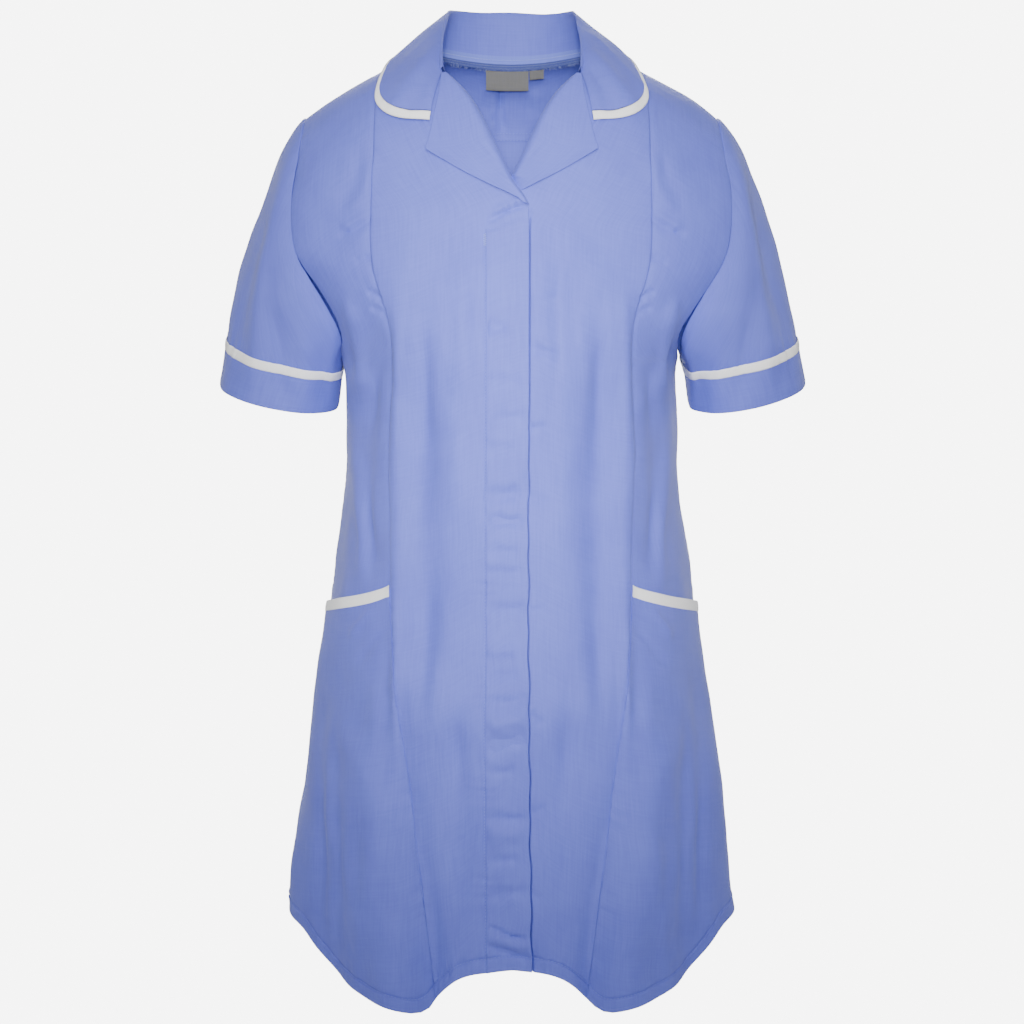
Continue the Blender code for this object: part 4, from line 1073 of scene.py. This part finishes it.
# The lapels and the collar
def lapel(name, side, cloth, rows, seed):
    table = np.array(rows)
    at = spaced(0.115, 0.0022)
    marks = run(table[:, 1:])
    marks = marks / marks[-1]
    roll_drop, edge_drop, edge_x = (np.interp(at, marks, table[:, k]) for k in range(3))
    widths = np.concatenate([[0.0, 0.02, 0.045, 0.08], np.linspace(0.12, 0.985, 38), [0.993, 1.0]])
    drops = roll_drop[:, None] + (edge_drop - roll_drop)[:, None] * widths
    places = roll_x(roll_drop)[:, None] + (edge_x - roll_x(roll_drop))[:, None] * widths
    root = np.sqrt(drops)
    angle = side * angle_at(places, root)
    surface, normals = body(angle, root), body_normal(angle, root)
    away = np.linalg.norm(surface - surface[:, :1], axis=2)
    lift = LAYER + 0.0008 + 0.0022 * bell(away, 0.012)
    point = surface[np.argmax(edge_x), -1]
    tip = bell(np.linalg.norm(surface - point, axis=-1), 0.012)
    lift = lift + 0.0010 * tip + 0.5 * waver(surface)
    lift = lift + 0.00035 * np.sin(away / 0.013 + 2.2 * seed) * smoothstep(away / 0.01)
    if name == "left":
        tucked = smoothstep((roll_drop - 0.1078) / 0.0042)[:, None]
        lift = lift * (1 - tucked) - 0.0011 * tucked
    points = surface + lift[..., None] * normals
    beyond = unit(surface[:, 0] - surface[:, 1])
    roll_reach = WALL + 3 * SEAM_GAP
    points[:, 0] = surface[:, 0] + roll_reach * beyond
    # A round roll from the front's edge over to the lapel
    facing = normals.copy()
    facing[:, 0] = beyond
    for col, share, reach, lean in ((1, 0.45, 0.75, 0.9), (2, 0.80, 0.35, 0.4)):
        points[:, col] = surface[:, col] + ((lift[:, col] * share)[:, None]) * normals[:, col]
        points[:, col] += roll_reach * reach * beyond
        facing[:, col] = unit(normals[:, col] + lean * beyond)
    edges = {"right": "folded", "top": "folded", "bottom": "folded"}
    panel(f"lapel_{name}", points, facing, cloth, edges, DOUBLED_CLOTH)


def neckline(degrees):
    turn = np.radians(degrees)
    depth = np.where(degrees < 0, front_neck_root(), math.sqrt(BACK_NECK_DROP))
    return NECK_HALF_WIDTH * np.cos(turn), depth * np.sin(turn)


def collar_stations(count):
    """Stations from the right front end round the back to the left one, on smooth lines through the
    collar's table."""
    half = {name: column(COLLAR_COLUMNS, COLLAR_ROWS, name) for name in COLLAR_COLUMNS}
    last = len(COLLAR_ROWS) - 1
    marks = np.arange(2 * last + 1, dtype=float)
    at = np.linspace(0.0, 2.0 * last, count)
    out = {}
    for name, values in half.items():
        first = -values if name in ("roll_x", "edge_x") else values
        whole = np.concatenate([first, values[-2::-1]])
        if name == "neck_degrees":
            whole = np.concatenate([values, 180 - values[-2::-1]])
        out[name] = spline(at, marks, whole)
    degrees = out.pop("neck_degrees")
    folded_back = np.where(degrees > 90, 180 - degrees, degrees)
    neck_x, neck_root = neckline(folded_back)
    out["neck_x"], out["neck_root"] = np.where(degrees > 90, neck_x, -neck_x), neck_root
    return out


def stand_foot(neck_x, neck_root, roll):
    inward = unit(-roll * np.array([1.0, 1.0, 0.0]))
    foot = place(neck_x, neck_root, np.zeros(len(roll)))
    clear = WALL + 2 * SEAM_GAP + 0.0014 * (1 - smoothstep((neck_root + 0.10) / 0.06))
    return foot + clear[:, None] * inward + np.array([0.0, 0.0, SEAM_GAP]), inward


def collar_profile(station, stand_shares, shares):
    roll = np.stack([station["roll_x"], station["roll_y"], station["roll_z"]], -1)
    foot = stand_foot(station["neck_x"], station["neck_root"], roll)[0]
    lift = COLLAR_EDGE_LIFT + 0.0018 * smoothstep((station["edge_root"] + 0.16) / 0.12)
    edge = place(station["edge_x"], station["edge_root"], lift)
    above = place(station["edge_x"], station["edge_root"], lift + 0.01)
    up = unit(roll - foot)
    outward = edge - roll
    outward = unit(outward - np.sum(outward * up, -1, keepdims=True) * up)
    middle = (roll + edge) / 2 + station["bulge"][:, None] * unit(above - edge)
    radius = COLLAR_FOLD_RADIUS
    rows = [foot + (roll - radius * outward - foot) * share for share in stand_shares]
    for turn in (0.06, 0.18, 0.32, 0.5, 0.68, 0.82, 0.94):
        angle = math.pi * turn
        rows.append(roll - radius * math.cos(angle) * outward + radius * math.sin(angle) * up)
    start = roll + radius * outward
    for share in shares:
        rows.append(
            start * (1 - share) * (1 - 2 * share)
            + middle * 4 * share * (1 - share)
            + edge * share * (2 * share - 1)
        )
    return np.array(rows)


COLLAR_STATIONS = 221
# Soft folds of the leaf, each row share of the way from the centre back, width, height
COLLAR_FOLD_ROWS = (
    (0.80, 0.055, 0.0016),
    (0.90, 0.045, -0.0018),
    (0.62, 0.050, 0.0010),
    (0.45, 0.050, -0.0008),
)


def collar(cloth, white):
    station = collar_stations(COLLAR_STATIONS)
    shares = np.linspace(0.0, 1.0, 34)
    stand = np.linspace(0.0, 0.93, 12)
    points = collar_profile(station, stand, shares)
    normals = -grid_normals(points)
    down = walked(points, 0)
    left = down[-1:] - down
    fall = len(stand) + 7
    # The leaf's soft folds, most where it comes forward over the collar bones
    t = np.linspace(-1.0, 1.0, COLLAR_STATIONS)
    leaf = smoothstep((np.arange(len(points)) - fall) / 10.0)[:, None]
    soft = sum(rise * bell(np.abs(t) - at, width) for at, width, rise in COLLAR_FOLD_ROWS)
    soft = soft * (1 + 0.25 * np.sign(t))
    height = leaf * soft * smoothstep(left / 0.010)
    pucker = 0.00030 * ripple(np.cumsum(np.full(COLLAR_STATIONS, 0.0022)), 0.8)
    height = height + leaf * pucker * np.exp(-np.abs(left - COLLAR_BINDING_WIDTH) / 0.006)
    height = height + 0.5 * waver(points)
    points = points + height[..., None] * normals
    # The leaf ends at the binding
    bound = np.empty((9, COLLAR_STATIONS, 3))
    trimmed = np.empty_like(points)
    for col in range(COLLAR_STATIONS):
        length = walked(points[:, col : col + 1], 0)[:, 0]
        start, total = length[fall], length[-1]
        kept = total - COLLAR_BINDING_WIDTH - SEAM_GAP - start
        shorter = start + (length - start) * kept / (total - start)
        shorter = np.where(length < start, length, shorter)
        ring = np.linspace(total - COLLAR_BINDING_WIDTH, total, len(bound))
        bound[:, col] = points_at(ring, length, points[:, col])
        trimmed[:, col] = points_at(shorter, length, points[:, col])
    panel("collar", trimmed, -grid_normals(trimmed), cloth, {"left": "folded", "right": "folded"}, 0.0010)
    bias_strip("collar_binding", bound, -grid_normals(bound), white, 0.0012)


def neck_trim(tape, grey):
    station = collar_stations(COLLAR_STATIONS)
    roll_all = np.stack([station["roll_x"], station["roll_y"], station["roll_z"]], -1)
    keep = (station["neck_root"] >= 0.011) & (roll_all[:, 1] > 0.0)
    x, neck_root = station["neck_x"][keep], station["neck_root"][keep]
    stand = collar_profile(station, (0.0, 1.0), (0.0, 1.0))[:2, keep]
    roll = roll_all[keep]
    foot, inward = stand_foot(x, neck_root, roll)
    up = unit(stand[1] - stand[0])
    level = np.zeros(len(x))
    neck = place(x, neck_root, level)
    down = unit(place(x, neck_root + 0.01, level) - neck)
    facing = unit(place(x, neck_root, level + 0.01) - neck)
    off = 2 * SEAM_GAP + TAPE_THICKNESS
    key = np.array(
        [
            foot + 0.0045 * up + off * inward,
            foot + off * inward - (WALL + off) * up,
            neck + (TAPE_WIDTH - 0.0045) * down - (WALL + 2 * off) * facing,
        ]
    )
    sides = np.array([inward, unit(inward - facing), -facing])
    at = np.concatenate([np.linspace(0.0, 1.0, 7), np.linspace(1.0, 2.0, 8)[1:]])
    low = np.clip(at.astype(int), 0, 1)
    part = (at - low)[:, None, None]
    rows = between(key, low, part)
    normals = unit(between(sides, low, part))
    depth = walked(rows, 0)
    height = 0.00022 * ripple(walked(rows, 1), 0.2) * smoothstep((depth - 0.004) / 0.004)
    for at in TAPE_STITCHES:
        height = height - 0.00018 * bell(depth - at, 0.0007)
    rows = rows + height[..., None] * normals
    panel("neck_tape", rows, normals, tape, {}, 0.0007)

    def tag(name, left, width, height):
        wide = np.linspace(0.0, 1.0, 25)
        across = left + width * wide
        top = points_at(across, key[2, :, 0], key[2])
        hang = unit(0.42 * points_at(across, x, down) + 0.58 * np.array([0.0, 0.0, -1.0]))
        steps = np.linspace(0.0, 1.0, 15)
        grid = np.array([top + (2 * SEAM_GAP + height * share) * hang for share in steps])
        normal = -grid_normals(grid)
        bend = 0.0006 * np.sin(math.pi * wide)[None, :] * steps[:, None] + 0.0005 * steps[:, None] ** 2
        grid = grid + bend[..., None] * normal
        normal = -grid_normals(grid)
        panel(name, grid, normal, grey, {"left": "folded", "right": "folded", "bottom": "folded"}, 0.0006)
        return grid, normal

    labels = [
        tag("neck_label", LABEL_LEFT_X, LABEL_WIDTH, LABEL_HEIGHT),
        tag("size_label", LABEL_LEFT_X + LABEL_WIDTH + 2 * SEAM_GAP, SIZE_TAG_WIDTH, SIZE_TAG_HEIGHT),
    ]
    return rows, normals, labels


# Stitches and loose threads
def thread_mesh(name, points, faces, material):
    mesh = bpy.data.meshes.new(name)
    mesh.from_pydata(points, [], faces)
    mesh.materials.append(material)
    made = shown(name, mesh)
    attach(made, "root")
    return mesh


# A stitch, each row share of its length, rise and thickness, both as shares of its radius
STITCH_ROWS = (
    (0.00, -1.20, 0.35),
    (0.18, 0.35, 0.90),
    (0.50, 0.90, 1.00),
    (0.82, 0.35, 0.90),
    (1.00, -1.20, 0.35),
)
STITCH_SIDES, STITCH_PROUD = 5, 0.00012
FRAY_THREADS = 260


def stitches(name, lines, thread, length=0.0021, gap=0.0008, radius=0.00026):
    """Rows of stitches as one mesh. Each line is its points and the directions they stand out to."""
    sides, rings = STITCH_SIDES, len(STITCH_ROWS)
    share, rise, thick = np.array(STITCH_ROWS).T
    lift, thick = rise * radius + STITCH_PROUD, (thick * radius)[:, None, None]
    turn = 2 * math.pi * np.arange(sides) / sides
    points, faces, base = [], [], 0
    for path, facing in lines:
        along = run(path)
        count = int(along[-1] / (length + gap))
        if count < 1:
            continue
        starts = np.arange(count) * (along[-1] / count)
        marks = starts[:, None] + share * length
        spot = points_at(marks, along, path)
        out = unit(points_at(marks, along, facing))
        beside = unit(np.cross(unit(np.gradient(spot, axis=1)), out))[:, :, None]
        spot = (spot + lift[:, None] * out)[:, :, None]
        out = out[:, :, None]
        ring = spot + thick * np.cos(turn)[:, None] * beside + thick * np.sin(turn)[:, None] * out
        points.append(ring.reshape(-1, 3))
        ends = base + np.arange(count)[:, None] * rings * sides
        first = ends[:, :, None] + np.arange(rings - 1)[None, :, None] * sides
        side = np.arange(sides)[None, None, :]
        after = (side + 1) % sides
        quads = np.stack([first + side, first + after, first + sides + after, first + sides + side], -1)
        faces += quads.reshape(-1, 4).tolist()
        faces += (ends + np.arange(sides)[::-1]).tolist()
        faces += (ends + (rings - 1) * sides + np.arange(sides)).tolist()
        base += count * rings * sides
    thread_mesh(name, np.concatenate(points).tolist(), faces, thread).shade_smooth()


def hem_line(angles, roots, surface, distance):
    """A line of points at a distance above a panel's bottom edge."""
    points, normals = surface(angles, roots)
    down = walked(points, 0)
    up = down[-1:] - down
    line, facing = np.empty((2, points.shape[1], 3))
    for col in range(points.shape[1]):
        order = np.argsort(up[:, col])
        line[col] = points_at(distance, up[order, col], points[order, col])
        facing[col] = points_at(distance, up[order, col], normals[order, col])
    return line, unit(facing)


def all_stitches(thread, pale_thread, tape_rows, tape_normals, labels):
    lines = []
    shares = np.linspace(0.006, 0.994, 140)
    front_shares = np.concatenate([np.linspace(0.0006, 0.0430, 60) - 1.0, np.linspace(0.0, 0.994, 60)])
    near_hem = np.linspace(0.955, 1.0, 60)
    fronts_of = ((-1, fly_inner, front_right_surface), (1, underlap_inner, front_left_surface))
    for side, inner_x, surface in fronts_of:
        angle, root = front_grid(side, inner_x, front_shares, near_hem)
        line, facing = hem_line(angle, root, surface, HEM_STITCH)
        if side == 1:
            seen = line[:, 0] > 0.0165
            line, facing = line[seen], facing[seen]
        lines.append((line, facing))
    for side in (-1, 1):
        angle, root = side_grid(side, shares, near_hem, MOUTH_ROW)
        lines.append(hem_line(angle, root, plain_surface, HEM_STITCH))
    wide = np.linspace(-0.998, 0.998, 400)
    bottom = hem_drop(180.0 - np.abs(wide) * (180.0 - SIDE_SEAM_DEGREES))
    drops = bottom - np.linspace(0.035, 0.0, 60)[:, None]
    angle, root = back_grid(drops, wide)
    lines.append(hem_line(angle, root, plain_surface, HEM_STITCH))
    stitches("hem_stitching", lines, thread)

    # The fly's stitching, with the short return and the bar tack at its top
    drops = np.linspace(0.1523, 0.752, 700)
    root = np.sqrt(drops)
    bend = np.interp(drops, (0.152, 0.30, 0.45, 0.60, 0.75), (0.0, 0.0006, 0.0, -0.0006, 0.0))
    angle = angle_at(FLY_STITCH_X + bend, root)
    lines = [front_right_surface(angle, root)]
    xs = np.linspace(FLY_STITCH_X, -0.0094, 20)
    lines.append(front_right_surface(angle_at(xs, math.sqrt(0.1503)), np.full(20, math.sqrt(0.1503))))
    stitches("fly_stitching", lines, thread)
    turns = np.linspace(0.0, 1.0, 60)
    xs = FLY_STITCH_X - 0.0002 + 0.0011 * np.sign(np.sin(turns * 40)) * 0.9
    root = np.sqrt(0.1545 + 0.0100 * turns)
    tack = front_right_surface(angle_at(xs, root), root)
    stitches("bar_tack", [tack], pale_thread, length=0.0013, gap=0.0001, radius=0.00022)

    # Two rows above the yoke seam, seen from outside and from inside
    lines = []
    wide = np.linspace(-0.985, 0.985, 300)
    seam = yoke_seam(wide)
    for rise in YOKE_STITCHES:
        angle, root = back_grid(seam - rise * 1.05, wide)
        points, normals = plain_surface(angle, root)
        lines += [(points, normals), (points - (CLOTH + 0.0001) * normals, -normals)]
    stitches("yoke_stitching", lines, thread)

    # The tape's two rows and the bright zigzag on its lower edge
    depth = walked(tape_rows, 0).mean(1)
    lines = []
    for at in TAPE_STITCHES:
        row = int(np.argmin(np.abs(depth - at)))
        lines.append((tape_rows[row], tape_normals[row]))
    stitches("tape_stitching", lines, pale_thread, length=0.0017, gap=0.0009)
    zig = np.linspace(0.0, 1.0, 150)
    cols = np.clip((zig * (tape_rows.shape[1] - 1)).astype(int), 0, tape_rows.shape[1] - 1)
    rows = np.where(np.arange(150) % 2 == 0, len(depth) - 4, len(depth) - 2)
    lines = [(tape_rows[rows, cols], tape_normals[rows, cols])]
    stitches("tape_zigzag", lines, pale_thread, length=0.0016, gap=0.0003, radius=0.00017)

    lines = [(grid[1], normals[1]) for grid, normals in labels]
    stitches("label_stitching", lines, pale_thread, length=0.0014, gap=0.0006, radius=0.00014)


def fray(material, tape_rows, tape_normals):
    """Loose threads at the tape's cut lower edge."""
    draw = np.random.default_rng(5)
    edge, facing = tape_rows[-1], tape_normals[-1]
    inner = unit(tape_rows[-1] - tape_rows[-2])
    rings, sides = 5, 3
    points, faces = [], []
    for _ in range(FRAY_THREADS):
        at = draw.uniform(0.5, len(edge) - 1.5)
        low = int(at)
        start = edge[low] * (1 - at + low) + edge[low + 1] * (at - low)
        ahead = unit(edge[low + 1] - edge[low])
        length = draw.uniform(0.0010, 0.0038)
        lean, curl = draw.uniform(-0.9, 0.9), draw.uniform(-1.2, 1.2)
        base = len(points)
        for step in range(rings):
            t = step / (rings - 1)
            bend = t * t * 0.5 * curl * ahead + t * lean * 0.6 * ahead
            way = start + length * (t * inner[low] + bend + 0.25 * t * facing[low])
            thin = 0.00024 * (1 - 0.5 * t)
            for side in range(sides):
                turn = 2 * math.pi * side / sides
                points.append(way + thin * (math.cos(turn) * ahead + math.sin(turn) * facing[low]))
        for step in range(rings - 1):
            for side in range(sides):
                a, b = base + step * sides + side, base + step * sides + (side + 1) % sides
                faces.append((a, b, b + sides, a + sides))
        last = base + (rings - 1) * sides
        faces += [(base + 2, base + 1, base), (last, last + 1, last + 2)]
    thread_mesh("tape_fray", [tuple(p) for p in points], faces, material)


# Materials
def new_material(name):
    material = bpy.data.materials.new(name)
    material.use_nodes = True
    tree = material.node_tree
    return material, tree, tree.nodes["Principled BSDF"]


def fill(tree, node, inputs):
    """Sets a node's inputs to values, or links them to other nodes' outputs."""
    for name, value in inputs.items():
        if isinstance(value, bpy.types.NodeSocket):
            tree.links.new(value, node.inputs[name])
        else:
            node.inputs[name].default_value = value


def add_node(tree, kind, inputs, operation=None):
    node = tree.nodes.new("ShaderNode" + kind)
    if operation:
        node.operation = operation
    fill(tree, node, inputs)
    return node


def math_node(tree, operation, *values):
    return add_node(tree, "Math", dict(enumerate(values)), operation).outputs[0]


def streaks(tree, source, scale):
    """Noise drawn out along the threads."""
    stretched = add_node(tree, "VectorMath", {0: source, 1: scale}, "MULTIPLY").outputs[0]
    return add_node(tree, "TexNoise", {"Scale": 1.0, "Detail": 2.0, "Vector": stretched}).outputs["Fac"]


def mixed(tree, share, first, second):
    """A colour between two."""
    mix = tree.nodes.new("ShaderNodeMix")
    mix.data_type = "RGBA"
    fill(tree, mix, {0: share, 6: (*first, 1.0), 7: (*second, 1.0)})
    return mix.outputs[2]


def woven(name, colour, shade, thread, roughness, sheen, depth, mottle=0.5, specular=0.35):
    """Plain woven cloth: a weave of real threads, slubs along both thread directions, soft mottling."""
    material, tree, shader = new_material(name)
    source = tree.nodes.new("ShaderNodeAttribute")
    source.attribute_name = "cloth"
    place_at = source.outputs["Vector"]
    split = add_node(tree, "SeparateXYZ", {0: place_at})
    turns = 2 * math.pi / thread
    over = math_node(tree, "SINE", math_node(tree, "MULTIPLY", split.outputs[0], turns))
    under = math_node(tree, "SINE", math_node(tree, "MULTIPLY", split.outputs[1], turns))
    weave = math_node(tree, "MULTIPLY", over, under)
    warp = streaks(tree, place_at, (620.0, 30.0, 1.0))
    weft = streaks(tree, place_at, (30.0, 620.0, 1.0))
    spot = tree.nodes.new("ShaderNodeTexCoord").outputs["Object"]
    cloud = add_node(tree, "TexNoise", {"Scale": 26.0, "Detail": 3.0, "Vector": spot})
    tone = math_node(tree, "MULTIPLY", warp, 0.5)
    for part, share in ((weft, 0.35), (cloud.outputs["Fac"], mottle), (weave, 0.06)):
        tone = math_node(tree, "ADD", tone, math_node(tree, "MULTIPLY", part, share))
    low, high = 0.27 + 0.5 * mottle, 0.58 + 0.5 * mottle
    ramp = add_node(tree, "MapRange", {"From Min": low, "From Max": high, "Value": tone})
    rise = math_node(tree, "ADD", weave, math_node(tree, "MULTIPLY", math_node(tree, "ADD", warp, weft), 1.4))
    fine = add_node(tree, "Bump", {"Strength": 0.5, "Distance": depth, "Height": rise})
    soft = add_node(tree, "TexNoise", {"Scale": 62.0, "Detail": 2.5, "Vector": spot})
    crumple = add_node(tree, "Bump", {"Strength": 0.6, "Distance": 0.0012, "Height": soft.outputs["Fac"]})
    fill(tree, crumple, {"Normal": fine.outputs[0]})
    looks = {
        "Base Color": mixed(tree, ramp.outputs[0], shade, colour),
        "Roughness": roughness,
        "Sheen Weight": sheen,
        "Sheen Roughness": 0.45,
        "Sheen Tint": (0.75, 0.82, 1.0, 1.0),
        "Specular IOR Level": specular,
        "Normal": crumple.outputs[0],
    }
    fill(tree, shader, looks)
    return material


def sewing_thread(name, colour):
    material, tree, shader = new_material(name)
    spot = tree.nodes.new("ShaderNodeTexCoord").outputs["Object"]
    noise = add_node(tree, "TexNoise", {"Scale": 900.0, "Vector": spot}).outputs["Fac"]
    bump = add_node(tree, "Bump", {"Distance": 0.0001, "Height": noise}).outputs[0]
    base = mixed(tree, noise, [0.8 * c for c in colour], colour)
    fill(tree, shader, {"Base Color": base, "Normal": bump, "Roughness": 0.55})
    return material


# The looks: a material and a slot name
CLOTH_LIGHT, CLOTH_DARK = (0.124, 0.154, 0.650), (0.105, 0.130, 0.590)
WHITE_LIGHT, WHITE_DARK = (0.95, 0.95, 0.95), (0.91, 0.91, 0.92)
TAPE_LIGHT, TAPE_DARK = (0.165, 0.212, 0.690), (0.135, 0.178, 0.640)
GREY_LIGHT, GREY_DARK = (0.185, 0.184, 0.178), (0.165, 0.164, 0.160)
tunic = woven("tunic_weave", CLOTH_LIGHT, CLOTH_DARK, 0.00056, 0.62, 0.12, 0.00007), "tunic_cloth"
white = woven("binding_weave", WHITE_LIGHT, WHITE_DARK, 0.0005, 0.75, 0.1, 0.00006, 0.3, 0.25), "white_binding"
tape = woven("tape_weave", TAPE_LIGHT, TAPE_DARK, 0.00090, 0.80, 0.15, 0.00012, 0.3, 0.2), "neck_tape"
grey = woven("label_weave", GREY_LIGHT, GREY_DARK, 0.00040, 0.60, 0.05, 0.00004, 0.2, 0.35), "label_grey"
blue_thread = sewing_thread("blue_thread", (0.165, 0.205, 0.72))
pale_thread = sewing_thread("pale_thread", (0.36, 0.44, 0.88))

fronts(tunic)
side_fronts(tunic, white)
backs(tunic)
sleeves(tunic, white)
lapel("right", -1, tunic, LAPEL_RIGHT_ROWS, 0.4)
lapel("left", 1, tunic, LAPEL_LEFT_ROWS, 1.7)
collar(tunic, white)
tape_rows, tape_normals, labels = neck_trim(tape, grey)
all_stitches(blue_thread, pale_thread, tape_rows, tape_normals, labels)
fray(pale_thread, tape_rows, tape_normals)


# Camera, floor and light
def look_from(made, place_at, aim):
    way = np.array(aim) - np.array(place_at)
    yaw = math.atan2(way[0], way[1])
    pitch = math.atan2(way[2], math.hypot(way[0], way[1]))
    made.rotation_euler = (math.pi / 2 + pitch, 0.0, -yaw)
    made.location = place_at


lens = bpy.data.cameras.new("camera")
lens.lens, lens.sensor_width = 90.28, 36.0
lens.shift_x = 0.5 / 1024
lens.clip_end = 100.0
camera = shown("camera", lens)
look_from(camera, (0.0, -2.2, -0.144), (0.0, 0.0, -0.394))
bpy.context.scene.camera = camera


def add_light(name, kind, place_at, aim, power):
    lamp = bpy.data.lights.new(name, kind)
    lamp.energy = power
    made = shown(name, lamp)
    look_from(made, place_at, aim)
    return lamp, made


def soft_light(name, place_at, aim, size, power):
    lamp, _ = add_light(name, "AREA", place_at, aim, power)
    lamp.shape, lamp.size, lamp.size_y = "RECTANGLE", size[0], size[1]


def soft_spot(name, place_at, aim, cone, narrow, power):
    """A soft-edged spot whose pool of light is narrower than it is high."""
    lamp, made = add_light(name, "SPOT", place_at, aim, power)
    lamp.spot_size, lamp.spot_blend, lamp.shadow_soft_size = math.radians(cone), 1.0, 0.20
    made.scale = narrow


soft_light("key", (0.0, -1.60, 0.65), (0.0, 0.0, -0.25), (1.1, 0.6), 23.0)
soft_light("left_fill", (-1.9, 1.3, 0.2), (0.0, 0.0, -0.35), (0.8, 1.4), 12.0)
soft_light("right_fill", (1.9, 1.3, 0.2), (0.0, 0.0, -0.35), (0.8, 1.4), 12.0)
soft_light("back_fill", (0.0, 2.3, 0.9), (0.0, 0.0, -0.35), (1.4, 1.0), 42.0)
soft_spot("front_spot", (0.0, -2.70, 0.02), (0.0, 0.0, -0.272), 22.5, (0.50, 0.88, 1.0), 575.0)
for name, side in (("pocket_spot_left", 1), ("pocket_spot_right", -1)):
    soft_spot(name, (0.90 * side, -2.30, -0.10), (0.152 * side, -0.08, -0.635), 11.0, (0.42, 1.0, 1.0), 150.0)

# A pale studio: even and quiet, with a bright white sheet hung far behind
world = bpy.data.worlds.new("studio")
world.use_nodes = True
bpy.context.scene.world = world
sky = world.node_tree
where = sky.nodes.new("ShaderNodeTexCoord").outputs["Generated"]
toward = add_node(sky, "VectorMath", {0: where, 1: (0.0, 0.9936, -0.1129)}, "DOT_PRODUCT").outputs["Value"]
bright = {"From Min": 0.915, "From Max": 0.955, "To Min": 0.33, "To Max": 7.0, "Value": toward}
sheet_light = add_node(sky, "MapRange", bright)
sheet_light.interpolation_type = "SMOOTHSTEP"
fill(sky, sky.nodes["Background"], {"Color": (1.0, 1.0, 1.0, 1.0), "Strength": sheet_light.outputs[0]})

floor_material, floor_tree, floor_shader = new_material("pale_floor")
fill(floor_tree, floor_shader, {"Base Color": (0.93, 0.93, 0.93, 1.0), "Roughness": 0.9})
floor_mesh = bpy.data.meshes.new("floor")
FLOOR_REACH, FLOOR_LEVEL, FLOOR_SIDES = 0.78, -1.10, 96
turns = [2 * math.pi * k / FLOOR_SIDES for k in range(FLOOR_SIDES)]
rim = [(FLOOR_REACH * math.cos(t), FLOOR_REACH * math.sin(t), FLOOR_LEVEL) for t in turns]
floor_mesh.from_pydata(rim, [], [list(range(FLOOR_SIDES))])
floor_mesh.materials.append(floor_material)
floor = shown("floor", floor_mesh)
